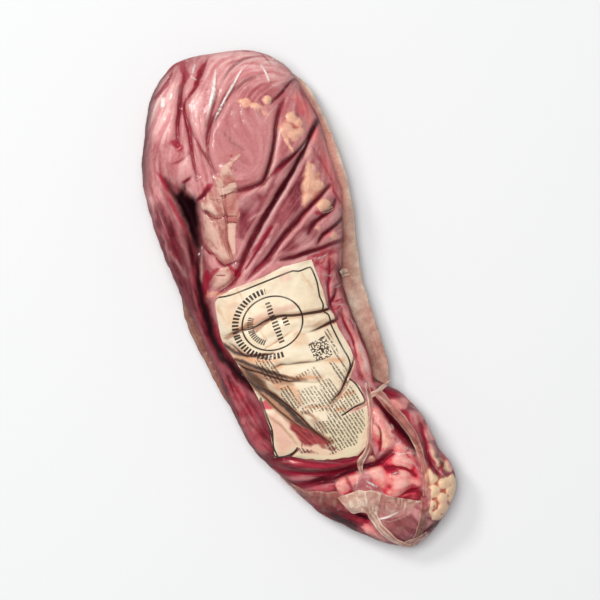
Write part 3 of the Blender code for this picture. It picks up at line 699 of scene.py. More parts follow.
raw = painted(patches=(
    (1, 4, ((-17.4, -119), (-13, -115), (-8.4, -116.4), (-7.4, -121), (-8.4, -126), (-12, -128), (-16.4, -125))),
    (0.92, 4, ((-8, -117), (-3, -115), (0, -118), (-2.6, -123), (-7, -125))),
    (0.9, 5, ((6, -116), (12, -114.5), (26, -114), (37, -116), (38, -128), (36, -140), (28, -143), (18, -143),
        (12, -138), (8, -128))),
    (1, 5, ((16, -129), (22, -126), (30, -126.5), (35, -131), (33, -137), (26, -140), (19, -138))),
    (0.9, 4, ((24, -117), (31, -116), (36, -120), (35, -126), (27, -125.5))),
    (0.9, 3.5, ((26, -112), (30, -108.5), (36, -109), (38, -113), (33, -116), (27, -115))),
    (0.66, 4, ((25, -79), (30, -83), (32, -96), (31, -106), (26, -111), (18, -110), (17, -100), (21, -88))),
    (0.46, 5, ((26, 4), (35, 2), (35, -33), (27, -33))), (0.44, 5, ((46, -94), (55, -95), (53, -130), (45, -130))),
    (0.55, 4, ((36, -80), (50, -78), (52, -88), (42, -91), (36, -88))),
    (0.8, 2.5, ((-12, -151), (-6, -151), (-3, -162), (0, -168), (-6, -166), (-10, -158))),
    (0.42, 4, ((-39, 51), (-37, 57), (-34, 53), (-32, 46), (-33, 41), (-38, 42), (-41, 45))),
    (1, 3.5, ((28, -34), (34, -32), (36.5, -44), (36, -58), (31, -69), (27, -60), (28, -48))),
    (0.8, 2, ((53, -105), (56.5, -108), (56.5, -118), (52.5, -117))),
    (0.5, 3, ((28, 22), (38, 24), (44, 20), (38, 14), (30, 16))),
    (0.52, 7, ((50, 128), (58, 132), (62, 118), (63, 60), (56, 38), (51, 60), (53, 90), (52, 110))),
    (0.8, 2, ((55, -130), (59, -133), (59, -141), (55, -139))),
), strokes=(
    (1.6, ((-28, 37, 0.7), (-25, 33, 0.8), (-22, 31, 0.5)), ((-42, -92.5, 0.4), (-32, -95.5, 0.8), (-22, -101, 0.7))),
    (1.8, ((36, 38, 0.3), (44, 33, 0.6), (50, 30, 0.3))),
), marks=(
    (-57, -58, 3, 0.5), (-53, -66, 2, 0.35), (44, -88, 3, 0.6),
))
# crimson lean, with painted red shade between the lumps of the tail
crimson_and_shade = painted(patches=(
    (0.5, 5, ((24, 24), (45, 24), (42, 12), (36, 4), (24, 2))),
    (0.5, 5, ((24, 2), (37, 4), (36, -34), (25, -34), (26, -22))),
    (0.62, 4, ((24, -34), (28, -34), (27, -66), (22, -60), (25, -50))),
    (0.3, 10, ((-63, 96), (-47, 90), (-46, 34), (-51, -10), (-61, -14), (-65, 60))),
    (0.85, 5, ((16, -117), (24, -117), (25, -125), (18, -127))),
    (0.9, 4, ((18, -140), (32, -141), (35, -147), (30, -149), (22, -147))),
    (1, 3, ((22, -143), (33, -143), (32, -149), (25, -148))),
    (0.8, 3, ((30, -84), (34, -92), (38, -108), (34, -108), (31, -96))),
    (0.7, 3, ((36, -70), (48, -74), (50, -80), (38, -80))), (0.6, 6, ((43, -92), (52, -98), (50, -138), (44, -138))),
    (0.6, 4, ((-14, -118), (-20, -123), (-34, -118), (-30, -113))),
    (0.42, 5, ((-44, -91), (-24, -99), (4, -107), (8, -112), (-20, -112), (-42, -106))),
    (0.5, 8, ((-60, -28), (-48, -30), (-46, -84), (-56, -82), (-62, -60))),
    (0.9, 3, ((-10, -143), (-2, -143), (-4, -152), (-10, -150))),
    (0.4, 5, ((50, 126), (57, 128), (61, 118), (62, 100), (56, 104), (52, 114))),
    (0.4, 5, ((52, 94), (60, 96), (60, 60), (54, 62))),
), strokes=(
    (1.4, ((-10, -124, 0.5), (-11, -127, 0.9), (-7, -128, 0.6))),
    (1.6, ((56, -128, 0.6), (57, -136, 0.8), (54, -142, 0.5))),
    (2, ((-12, -153, 0.5), (-8, -161, 0.7), (-2, -168, 0.7), (4, -173, 0.3))),
    (2.4, ((-48, -90, 0.4), (-36, -97, 0.5), (-22, -104, 0.6), (-6, -109.5, 0.6), (8, -110, 0.5))),
), marks=(
    (-9, -147, 3, 0.9), (44, -96, 4, 0.5), (39, -76, 4, 0.5),
))
# paler tissue, with painted highlights on the head's shoulder and along the crests
pale_and_highlight = painted(patches=(
    (0.95, 9, ((-46, 146), (-36, 160), (-22, 168), (-11, 163), (-17, 150), (-25, 134), (-40, 130))),
    (0.6, 5, ((-15, 136), (-14, 146), (-4, 152), (6, 150), (-2, 137), (-7, 128), (-12, 124))),
    (0.7, 7, ((2, 152), (8, 174), (28, 170), (24, 156), (12, 150))),
    (0.7, 8, ((20, 146), (38, 144), (58, 138), (60, 148), (48, 160), (30, 170), (22, 158))),
    (0.35, 8, ((-36, 104), (-24, 108), (-22, 122), (-38, 124))), (0.36, 4, ((25, 4), (35, 4), (35, -34), (26, -34))),
    (0.4, 5, ((45, -110), (53, -110), (52, -131), (46, -131))),
    (0.25, 5, ((48, -93), (55, -94), (55, -108), (50, -108))),
    (0.2, 4, ((22, -76), (28, -84), (28, -100), (18, -104), (17, -92))),
), strokes=(
    (0.7, ((26, -20, 0.5), (28, -28, 0.7))),
    (0.8, ((-50, 140, 0.4), (-44, 146, 0.6), (-36, 150, 0.4)), ((-46, 134, 0.4), (-36, 140, 0.6), (-26, 142, 0.4)),
        ((-40, 122, 0.3), (-32, 120, 0.5), (-24, 122, 0.3)), ((24, 158, 0.4), (32, 154, 0.7), (40, 153, 0.4)),
        ((10, 166, 0.4), (18, 168, 0.6), (28, 166, 0.4)), ((40, 140, 0.3), (46, 144, 0.6), (52, 143, 0.3)),
        ((-52, 70, 0.2), (-50, 60, 0.3), (-51, 50, 0.2)), ((-60, 78, 0.3), (-61, 66, 0.5), (-62, 58, 0.3)),
        ((-62, 112, 0.3), (-60, 102, 0.6), (-61, 94, 0.3)),
        ((26, 24, 0.6), (31, 22.4, 1), (38, 24, 0.8), (44, 22, 0.5)), ((25, 17, 0.5), (29, 16, 0.9), (32, 17, 0.5)),
        ((30, 3, 0.6), (33, 1, 0.9), (36, 3, 0.5)), ((28, -3, 0.5), (31, -4, 0.8)),
        ((32, -18, 0.5), (35, -26, 0.9), (34.6, -32, 0.6)), ((30, -36, 0.7), (31.4, -48, 1), (29.6, -62, 0.7)),
        ((34.4, -38, 0.6), (34.6, -50, 0.9), (32, -63, 0.6)), ((-4, 62, 0.3), (6, 64, 0.5), (16, 70, 0.3)),
        ((0, 76, 0.3), (8, 79, 0.5))),
    (0.9, ((28, 12, 0.5), (33, 8, 0.8), (37, 10, 0.4)), ((27, -10, 0.6), (31, -10.4, 1), (35, -13, 0.6)),
        ((27, -8, 0.5), (32, -12, 0.8), (36, -16, 0.4)), ((26, -26, 0.4), (31, -30, 0.7), (34, -28, 0.3))),
    (1, ((40, 54.6, 0.2), (28, 48, 0.35), (14, 41, 0.4), (0, 34, 0.3)),
        ((-34.6, 99, 0.5), (-32.4, 94.5, 0.9), (-30.4, 89.5, 0.6))),
    (1.1, ((12, 53, 0.2), (2, 45, 0.4), (-9, 37, 0.5), (-18, 30.5, 0.3))), (1.3, ((-58, 100, 0.7), (-60, 88, 0.5))),
    (1.4, ((53, 49, 0.4), (46, 44, 0.5), (38, 41, 0.3)), ((40, 52, 0.3), (34, 48.5, 0.4)),
        ((-47, -94.5, 0.2), (-38, -98.5, 0.35), (-27, -104, 0.3)), ((-60, 62, 0.5), (-58, 52, 0.6), (-56, 44, 0.3))),
    (1.5, ((50, 93, 0.4), (38, 81.5, 0.65), (26, 71.5, 0.75), (16, 64, 0.65), (4, 54.5, 0.65), (-8, 44.5, 0.5),
        (-18, 36, 0.4))),
    (1.6, ((22, 78, 0.5), (34, 83, 0.5), (42, 87, 0.4))), (1.8, ((-23, 118, 0.5), (-21, 104, 0.7), (-22, 94, 0.7))),
    (2.4, ((40, 121, 0.5), (33, 106, 0.8), (25, 92, 0.9), (18, 83, 0.6), (11, 76, 0.5))),
    (3.2, ((29, -38, 0.6), (32, -50, 0.9), (31, -62, 0.6))),
), marks=(
    (-56, -44, 7, 0.16), (-54, -62, 7, 0.2), (-52, -78, 6, 0.16), (57, 88, 4, 0.4), (48, -99, 6, 0.55),
    (24, 37, 6, 0.35), (0, 74, 7, 0.3), (-57, -58, 4, 0.2), (46, 139, 4, 0.3),
))
wine = painted(patches=(
    (0.62, 20, ((-76, 100), (-58, 101), (-44, 93), (-43, 60), (-49, 35), (-60, 20), (-76, 40))),
    (1, 14, ((-76, 78), (-58, 76), (-44, 70), (-43, 60), (-48, 35), (-51, 20), (-51, -5), (-47, -25), (-40, -42),
        (-40, -90), (-52, -94), (-76, -60))),
    (0.62, 8, ((-6, 78), (12, 80), (28, 93), (48, 90), (42, 76), (35, 62), (32, 54), (20, 46), (0, 30), (-20, 27),
        (-10, 42), (-16, 55), (-12, 64))),
    (0.6, 6, ((-8, 30), (6, 38), (22, 46), (34, 52), (40, 50), (34, 34), (10, 30))),
    (1, 4, ((-54, -86), (-36, -91), (-20, -98), (4, -106), (14, -102), (16, -112), (-20, -114), (-44, -110))),
    (1, 5, ((-45, -108), (-16, -116), (-16, -138), (-5, -142), (-10, -154), (-20, -154), (-40, -130))),
    (0.6, 5, ((23, -66), (44, -72), (56, -95), (56, -126), (44, -137), (41, -115), (30, -85))),
    (0.55, 5, ((2, -151), (24, -155), (28, -174), (8, -174))),
    (0.6, 3, ((10, -108), (22, -112), (40, -108), (40, -122), (14, -118))),
), strokes=(
    (1.2, ((22, 163, 0.4), (34, 160, 0.6), (44, 159, 0.5))), (1.6, ((-46, 122, 0.4), (-38, 128, 0.4))),
    (1.8, ((-11, 118, 0.5), (-13, 100, 0.4))), (2, ((12, 163, 0.5), (8, 158, 0.4), (4, 150, 0.3))),
    (2.4, ((-24, 140, 0.3), (-21, 128, 0.4), (-24, 110, 0.4), (-26, 98, 0.6))),
))

meat, mx, my, mz, meat_up = form_mesh("meat", FILM_GAP, meat_rise)
# painted light and shade from the relief: crests lighter, hollows darker
relief_shading = 0.5 + (meat_rise - softened(meat_rise, 2.2 * MM)) / (1.6 * MM)
# painted shade from the larger clods: lighter on top, darker low
mound_shading = 0.5 + (meat_rise - softened(meat_rise, 6 * MM)) / (3.4 * MM)
for name, table in (("blood_and_shade", blood_and_shade), ("deep_shade", deep_shade), ("fat", fat), ("sinew", sinew), ("raw", raw),
                    ("crimson_and_shade", crimson_and_shade), ("pale_and_highlight", pale_and_highlight), ("core_shade", core_shade)):
    keep_mask(meat, name, read_plan(table, mx, my) * smoothstep(meat_up / 0.5))
keep_mask(meat, "relief_shading", 0.5 + (read_plan(relief_shading, mx, my) - 0.5) * meat_up)
keep_mask(meat, "mound_shading", 0.5 + (read_plan(mound_shading, mx, my) - 0.5) * meat_up)
calm = 1 - 0.65 * patch(PLAN_X, PLAN_Y, (
    (-10, 104), (-9, 124), (4, 135), (16, 140), (28, 131), (37, 121), (30, 103), (19, 86), (6, 84), (-2, 98)), 6)
keep_mask(meat, "streak", read_plan(0.5 + calm * (0.6 * fine_streaks + 0.4 * broad_streaks - 0.5), mx, my))
# painted shade: the meat darkens towards its rims, where it turns away from the light, and most of all beside the
# head
HEAD_FROM = 96 * MM
LEFT_RIM, RIGHT_RIM = 12 * MM, 4 * MM
left_side, right_side, _, _ = section_at(PLAN_Y, 0.0)
rim = smoothstep(1 - (PLAN_X - left_side) / LEFT_RIM) * (0.25 + 0.75 * smoothstep((PLAN_Y - HEAD_FROM) / (24 * MM)))
rim = np.maximum(rim, 0.5 * smoothstep(1 - (right_side - PLAN_X) / RIGHT_RIM))
keep_mask(meat, "rim", read_plan(rim, mx, my))
# painted shade: the sides and the underside are darker, from an uneven height down, also in the wine mask
DARK_FROM, DARK_FADE = 35 * MM, 26 * MM
low = smoothstep((DARK_FROM + 7 * MM * grain(mx, my, 16 * MM, 93) - mz) / DARK_FADE)
keep_mask(meat, "wine", np.maximum(read_plan(wine, mx, my) * smoothstep(meat_up / 0.4), low))
keep_mask(meat, "side", low)


# The finishes are worked out from Object coordinates in metres, or from soft-edged masks kept on the mesh. Each of
# these adds nodes to the tree being made. A colour is a socket, or three values from 0 to 255 as they look.
def shade(red, green, blue):
    """The linear values that the shaders take."""
    linear = [((c / 255 + 0.055) / 1.055) ** 2.4 if c > 10 else c / 255 / 12.92 for c in (red, green, blue)]
    return (*linear, 1.0)


def put(kind, inputs=None, **settings):
    """Adds a node with its settings, and sets or links its inputs by name or number."""
    made = tree.nodes.new(kind)
    for name, value in settings.items():
        setattr(made, name, value)
    for name, value in (inputs or {}).items():
        if isinstance(value, bpy.types.NodeSocket):
            tree.links.new(value, made.inputs[name])
        else:
            made.inputs[name].default_value = value
    return made


def mixed(share, first, second):
    first, second = (shade(*colour) if isinstance(colour, tuple) else colour for colour in (first, second))
    return put("ShaderNodeMix", {0: share, 6: first, 7: second}, data_type="RGBA").outputs[2]


def worked(operation, first, second=0.0, third=0.0):
    return put("ShaderNodeMath", {0: first, 1: second, 2: third}, operation=operation).outputs[0]


def times(first, second):
    return worked("MULTIPLY", first, second)


def ranged(value, low, high, new_low=0.0, new_high=1.0):
    inputs = {"Value": value, "From Min": low, "From Max": high, "To Min": new_low, "To Max": new_high}
    return put("ShaderNodeMapRange", inputs, interpolation_type="SMOOTHSTEP").outputs[0]


def mask_of(name):
    return put("ShaderNodeAttribute", attribute_name=name).outputs["Fac"]


def own_place():
    return put("ShaderNodeTexCoord").outputs["Object"]


def stretched(turn_degrees, stretch):
    """Object coordinates turned about Z, then divided by stretch along each axis."""
    turned = put("ShaderNodeMapping", {"Vector": own_place(), "Rotation": (0, 0, math.radians(turn_degrees))})
    scale = tuple(1 / length for length in stretch)
    return put("ShaderNodeMapping", {"Vector": turned.outputs[0], "Scale": scale}).outputs[0]


def noise(place, scale, detail, distortion=0.0):
    inputs = {"Vector": place, "Scale": scale, "Detail": detail, "Roughness": 0.55, "Distortion": distortion}
    return put("ShaderNodeTexNoise", inputs).outputs["Fac"]


def bumped(height, strength, depth):
    return put("ShaderNodeBump", {"Height": height, "Strength": strength, "Distance": depth}).outputs[0]


def new_material(name):
    material = bpy.data.materials.new(name)
    material.use_nodes = True
    material.node_tree.nodes.clear()
    return material, material.node_tree


def surfaced(shader):
    put("ShaderNodeOutputMaterial", {"Surface": shader.outputs[0]})


# A soft mask goes into this group, and comes out with a frayed, natural edge
tree = FRAYED = bpy.data.node_groups.new("frayed edge", "ShaderNodeTree")
for name, way in (("Mask", "INPUT"), ("Scale", "INPUT"), ("Fray", "INPUT"), ("Mask", "OUTPUT")):
    FRAYED.interface.new_socket(name, in_out=way, socket_type="NodeSocketFloat")
taken = put("NodeGroupInput").outputs
speckle = worked("SUBTRACT", noise(own_place(), taken["Scale"], 4.0), 0.5)
moved = worked("ADD", taken["Mask"], times(speckle, taken["Fray"]))
put("NodeGroupOutput", {0: ranged(moved, 0.25, 0.75)})


def frayed(mask, scale, fray):
    return put("ShaderNodeGroup", {"Mask": mask, "Scale": scale, "Fray": fray}, node_tree=FRAYED).outputs[0]


def streaky(dark, light):
    """A colour that runs in streaks along the fibres."""
    return mixed(ranged(mask_of("streak"), 0.3, 0.7), dark, light)


material, tree = new_material("raw beef")
place = own_place()
mottle = noise(place, 60, 3)
fine = noise(place, 700, 3)
veins = noise(stretched(0, (1, 2.2, 0.8)), 95, 4, distortion=1.0)
relief_shading_mask = mask_of("relief_shading")
streak_mask = mask_of("streak")
mound_shading_mask = mask_of("mound_shading")
muscle = mixed(ranged(mottle, 0.35, 0.65, 0, 0.6), streaky((184, 102, 107), (222, 158, 158)), (204, 134, 133))
dusky = mixed(ranged(mottle, 0.4, 0.65, 0, 0.7), streaky((92, 20, 34), (160, 72, 84)), (124, 40, 52))
light = streaky((230, 154, 156), (255, 209, 205))
# darker muscle, and the painted shade of the sides
body = mixed(frayed(mask_of("wine"), 120, 0.4), muscle, dusky)
# paler tissue and painted highlights
body = mixed(mask_of("pale_and_highlight"), body, light)
# painted light on the crests and painted shade in the hollows
body = mixed(ranged(relief_shading_mask, 0.58, 0.95, 0, 0.42), body, (230, 164, 164))
body = mixed(ranged(relief_shading_mask, 0.44, 0.1, 0, 0.6), body, (124, 28, 44))
body = mixed(ranged(streak_mask, 0.24, 0.06, 0, 0.5), body, (146, 40, 58))
# painted shade where the meat turns away at its rims
turned_away = times(mask_of("rim"), worked("SUBTRACT", 1.0, mask_of("side")))
body = mixed(turned_away, body, (82, 38, 46))
# crimson lean and painted red shade
body = mixed(frayed(mask_of("crimson_and_shade"), 160, 0.6), body, streaky((150, 26, 44), (206, 84, 96)))
# raw lean, with painted shade low between its lumps and in its clefts, and painted light on their tops
flush = mixed(ranged(mound_shading_mask, 0.3, 0.62), (232, 74, 92), streaky((240, 126, 126), (252, 160, 152)))
flush = mixed(ranged(mound_shading_mask, 0.6, 0.95, 0, 0.85), flush, streaky((248, 156, 150), (255, 196, 186)))
flush = mixed(ranged(relief_shading_mask, 0.35, 0.1), flush, (160, 28, 48))
body = mixed(frayed(mask_of("raw"), 110, 0.6), body, flush)
# the sinew sheet here, with painted light on its crests and painted shade in its hollows
sheet = mixed(ranged(relief_shading_mask, 0.3, 0.75), (176, 104, 96), (228, 184, 168))
sheet = mixed(ranged(mottle, 0.42, 0.62, 0, 0.6), sheet, streaky((188, 122, 112), (214, 164, 150)))
body = mixed(frayed(mask_of("sinew"), 240, 0.4), body, sheet)
# fat, with painted light on top of its lobes and painted shade low and in its clefts
tallow = mixed(ranged(mound_shading_mask, 0.1, 0.62), (240, 164, 126), (255, 224, 184))
head_way = ranged(put("ShaderNodeSeparateXYZ", {0: place}).outputs["Y"], -0.12, 0.0, 0, 0.9)
rosy = mixed(ranged(mound_shading_mask, 0.25, 0.75), streaky((200, 106, 96), (230, 148, 133)), (252, 198, 168))
rosy = mixed(ranged(mottle, 0.5, 0.66, 0, 0.5), rosy, (222, 138, 130))
tallow = mixed(head_way, tallow, rosy)
tallow = mixed(ranged(relief_shading_mask, 0.38, 0.1, 0, 0.85), tallow, (190, 92, 76))
tallow = mixed(ranged(mottle, 0.45, 0.65, 0, 0.4), tallow, (248, 184, 160))
body = mixed(frayed(mask_of("fat"), 240, 0.75), body, tallow)
# blood, and painted shade in the valleys and wrinkles
body = mixed(times(frayed(mask_of("blood_and_shade"), 300, 0.4), 0.85), body, (168, 26, 56))
body = mixed(ranged(fine, 0.3, 0.7, 0, 0.14), body, (90, 20, 28))
# painted shade, a thin dark line down the middle of each valley
body = mixed(times(mask_of("core_shade"), 0.7), body, (96, 10, 30))
# the nearly black painted shade of the deepest grooves
body = mixed(mask_of("deep_shade"), body, (28, 5, 11))
# The sides and the underside, darker with painted shade, lie under a thin silvery sheet
silver = times(ranged(veins, 0.5, 0.68, 0, 0.42), mask_of("side"))
body = mixed(silver, body, (182, 118, 118))
bump = bumped(streak_mask, 0.3, 0.5 * MM)
flesh = put("ShaderNodeBsdfPrincipled", {
    "Base Color": body, "Roughness": 0.55, "Specular IOR Level": 0.12, "Normal": bump})
surfaced(flesh)
meat.data.materials.append(material)
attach(meat, "root")
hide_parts("sealed_pack")


# The sinew. A thin pale sheet lies over the muscle where the head's groove ends, ragged at its left side and
# crossed by folds, with a smooth pale clod below it. Both are cut sheets laid on the meat, under the film.
SHEET_LIFT = 0.3 * MM
SHEET_STEP = 0.38 * MM
WHOLE_SIDE = ((-15, 92), (0, 92), (0, 60), (-20, 38), (-24, 44), (-16, 66))  # where its edge isn't ragged
SINEW_OUTLINES = (
    ("sinew.sheet", ((-30.5, 82), (-28, 84.5), (-24, 86), (-22, 88.5), (-18, 88.6), (-15.6, 91.5), (-14, 94.6),
        (-11.6, 95.2), (-9, 98.4), (-6, 101), (0, 101.8), (3, 103.6), (6, 104.2), (8.2, 102.8), (3, 100.4),
        (-1.6, 97), (-2.6, 91), (-2.4, 85.4), (-4.4, 81.2), (-6.6, 74), (-8, 67), (-12, 63), (-16, 56), (-19.4, 47),
        (-22, 41), (-26, 40.6), (-30, 41), (-32.2, 46), (-33.4, 52), (-36, 57), (-35, 63.5), (-33, 70.5), (-31, 76),
        (-28.6, 78.4))),
    ("sinew.clod", ((-42, 31), (-41, 35), (-38, 38.4), (-33, 40), (-28, 39.8), (-26.6, 35), (-26, 31), (-30, 28.2),
        (-38, 26.8))),
)
SINEW_LINES = (
    (0.55, ((-30.5, 79, 0.5), (-28.4, 76.5, 1), (-26, 73.5, 1), (-24, 71.3, 1), (-21, 70.3, 0.9),
        (-17.5, 70.2, 0.8))),
    (1.1, ((-28.4, 78.6, 0.7), (-27, 76.6, 0.8), (-26.4, 75, 0.4))),
    (0.42, ((-12.5, 90, 0.3), (-14.5, 82, 0.5), (-16.5, 73, 0.8), (-17.6, 69.8, 1), (-19, 64, 0.7), (-22, 58, 0.6),
        (-23.5, 50, 0.6), (-25, 41, 0.7))),
    (0.42, ((-10.5, 90, 0.3), (-12.5, 82, 0.45), (-15.2, 74, 0.55), (-16.2, 69.8, 1), (-18, 64, 0.5),
        (-21.4, 56, 0.7), (-22.3, 50, 0.8), (-22.8, 42, 0.4))),
    (0.5, ((-17, 69.9, 0.9), (-14, 68.9, 0.9), (-10.4, 67.4, 0.8))),
    (0.5, ((-18, 66, 0.9), (-15, 65.2, 0.9), (-12.2, 63.5, 0.9))),
    (0.4, ((-14.5, 81.4, 0.6), (-10, 81.1, 0.5), (-5, 81.4, 0.4))),
    (0.4, ((-12.5, 88, 0.5), (-9, 87.4, 0.6), (-3, 86.2, 0.4))),
    (0.6, ((-16, 83.4, 0.6), (-12, 82.5, 0.8), (-7, 82.6, 0.9), (-3, 81.8, 0.7))),
    (0.45, ((-9, 90, 0.3), (-6, 88.8, 0.6), (-3, 88.4, 0.5))),
    (0.6, ((-30, 72, 0.1), (-27, 68, 0.35), (-25.5, 63, 0.45), (-24, 59, 0.3))),
    (0.9, ((-32.4, 65, 0.3), (-32, 62.5, 0.4))), (0.7, ((-28, 58.5, 0.35), (-27.6, 56.5, 0.35))),
    (0.6, ((-22, 86, 0.3), (-21, 83, 0.6), (-16.5, 81.4, 0.5))),
    (0.8, ((-10, 95, 0.2), (-7, 92, 0.35), (-4, 90, 0.35))),
    (0.5, ((-6, 101, 0.2), (-2, 97.5, 0.4), (-2.2, 91, 0.4))),
    (0.7, ((-34, 62, 0.2), (-31, 57, 0.4), (-30, 52, 0.3))), (0.5, ((-27, 50, 0.2), (-27.5, 44, 0.3))),
    (0.5, ((-37.8, 37.4, 0.5), (-35, 36, 1), (-31.8, 34.7, 0.9))), (0.7, ((-35, 32.6, 0.35), (-33.4, 32.3, 0.35))),
    (0.6, ((-30, 33, 0.2), (-28, 36, 0.3))),
)
sinew_lines = sum(stroke(PLAN_X, PLAN_Y, 1.15 * width, points) for width, points in SINEW_LINES)
# paler sinew, with painted sheen on it
sinew_pale_and_sheen = painted(patches=(
    (1, 1.2, ((-12.5, 88.3), (-3, 87.6), (-2.8, 84.5), (-7, 83.4), (-13.5, 83.6))),
    (0.85, 1.2, ((-18, 65.3), (-12.7, 63.3), (-15, 58), (-18, 52), (-20.3, 45.5), (-22.3, 46), (-21, 56))),
    (1, 2, ((-25.5, 82.5), (-22.5, 80), (-20.5, 73), (-23, 72.3), (-26.4, 79))),
    (0.9, 1.5, ((-30, 83.6), (-27, 84.3), (-25.4, 80), (-28, 78.6), (-30.2, 80.5))),
    (0.7, 2, ((-16, 89), (-12, 94), (-10, 93), (-11, 85), (-14, 80), (-16, 82))),
    (0.8, 2, ((-8, 99.5), (-2, 100.6), (-3, 97), (-6, 94), (-9, 96))),
    (0.6, 2, ((1, 102.4), (7, 103.5), (4, 101.5), (-2, 100.5))),
    (0.6, 3, ((-33, 69), (-29, 72), (-26, 66), (-25, 60), (-31, 56), (-34, 62))),
    (0.5, 3, ((-31, 52), (-26, 54), (-25, 44), (-29, 42.5))),
    (0.7, 4, ((-40, 32), (-36, 38), (-30, 38), (-28, 32), (-34, 29))),
))
sinew_flush = painted(patches=(
    (0.9, 1, ((-16.8, 69.4), (-10.8, 67), (-12.4, 64), (-17.8, 66.4))),
    (0.8, 1.5, ((-19, 65), (-23, 57), (-24.4, 42), (-22.6, 41), (-21.5, 55), (-18, 64))),
    (0.5, 2, ((-14, 81), (-5, 81), (-8, 67.4), (-16.4, 69.6))),
    (0.6, 2, ((-22, 88), (-16, 89), (-15, 84), (-21, 83))), (0.6, 2, ((-9, 93), (-4, 92), (-3, 88.6), (-10, 90))),
    (0.5, 2, ((-24, 71), (-18, 70), (-18, 76), (-20, 80))),
), marks=(
    (-33, 48, 3, 0.5), (-28, 42, 3, 0.5), (-27, 31, 3, 0.6), (-34, 60, 2, 0.4),
))


def cut_sheet(name, outline, step):
    """A flat sheet cut along an outline in plan, with the nearest vertices moved onto the cut."""
    own = np.array(outline, float) * MM
    low, high = own.min(0) - 2 * step, own.max(0) + 2 * step
    columns, rows = (int(count) for count in np.ceil((high - low) / step))
    bm = bmesh.new()
    bmesh.ops.create_grid(bm, x_segments=columns, y_segments=rows, size=0.5)
    mesh = bpy.data.meshes.new(name)
    bm.to_mesh(mesh)
    x, y = low[:, None] + (vertex_places(mesh)[:, :2].T + 0.5) * (high - low)[:, None]
    grid, soft = (rows + 1, columns + 1), 8 * step
    # the same measure that patch() softens, turned back into a distance
    inward = -np.sin(np.arcsin(1 - 2 * patch(x, y, outline, soft / MM)) / 3) * soft
    slopes = np.gradient(inward.reshape(grid), y.reshape(grid)[:, 0], x.reshape(grid)[0])
    at_cut = np.abs(inward) < 0.7 * step
    x = np.where(at_cut, x - inward * slopes[1].ravel(), x)
    y = np.where(at_cut, y - inward * slopes[0].ravel(), y)
    bm.verts.ensure_lookup_table()
    for vertex, across, along in zip(bm.verts, x, y):
        vertex.co = (across, along, 0)
    bmesh.ops.delete(bm, geom=[v for v in bm.verts if inward[v.index] < -0.7 * step], context="VERTS")
    bmesh.ops.recalc_face_normals(bm, faces=bm.faces)
    if sum(face.normal.z for face in bm.faces) < 0:
        bmesh.ops.reverse_faces(bm, faces=bm.faces)
    bm.to_mesh(mesh)
    bm.free()
    mesh.shade_smooth()
    piece = bpy.data.objects.new(name, mesh)
    scene.collection.objects.link(piece)
    return piece, *vertex_places(mesh)[:, :2].T


material, tree = new_material("sinew")
place = own_place()
mottle = noise(place, 170, 4)
fine = noise(place, 900, 3)
tissue = mixed(ranged(mottle, 0.35, 0.65), (178, 112, 102), (211, 157, 143))
tissue = mixed(ranged(mask_of("streak"), 0.45, 0.75, 0, 0.6), tissue, (238, 198, 182))
tissue = mixed(ranged(mask_of("streak"), 0.4, 0.15, 0, 0.5), tissue, (168, 92, 88))
# paler sinew and painted sheen
tissue = mixed(mask_of("light"), tissue, (238, 200, 182))
tissue = mixed(mask_of("flush"), tissue, (190, 112, 106))
tissue = mixed(ranged(fine, 0.4, 0.7, 0, 0.14), tissue, (150, 84, 78))
tissue = mixed(ranged(mask_of("line"), 0.15, 0.9, 0, 0.85), tissue, (112, 34, 36))
edge = worked("ADD", mask_of("edge"), times(worked("SUBTRACT", mottle, 0.5), 1.2))
torn = ranged(edge, 0.45, 0.75)
bump = bumped(mottle, 0.35, 0.6 * MM)
skin = put("ShaderNodeBsdfPrincipled", {
    "Base Color": tissue, "Roughness": 0.5, "Specular IOR Level": 0.3, "Alpha": torn, "Normal": bump})
surfaced(skin)
for name, outline in SINEW_OUTLINES:
    piece, x, y = cut_sheet(name, outline, SHEET_STEP)
    drawn = read_plan(sinew_lines, x, y)
    rise = SHEET_LIFT + 0.12 * MM * grain(x, y, 3 * MM, 91) - 0.2 * MM * np.clip(drawn, 0, 1)
    move_vertices(piece.data, x, y, top_height(x, y, FILM_GAP, meat_rise) + rise)
    keep_mask(piece, "line", drawn)
    keep_mask(piece, "streak", read_plan(fine_streaks, x, y))
    edge = painted(patches=((1, 2.6, outline), (1, 2, WHOLE_SIDE)))
    keep_mask(piece, "edge", read_plan(edge, x, y))
    keep_mask(piece, "light", read_plan(sinew_pale_and_sheen, x, y))
    keep_mask(piece, "flush", read_plan(sinew_flush, x, y))
    piece.data.materials.append(material)
    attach(piece, "root")
    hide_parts("sealed_pack")
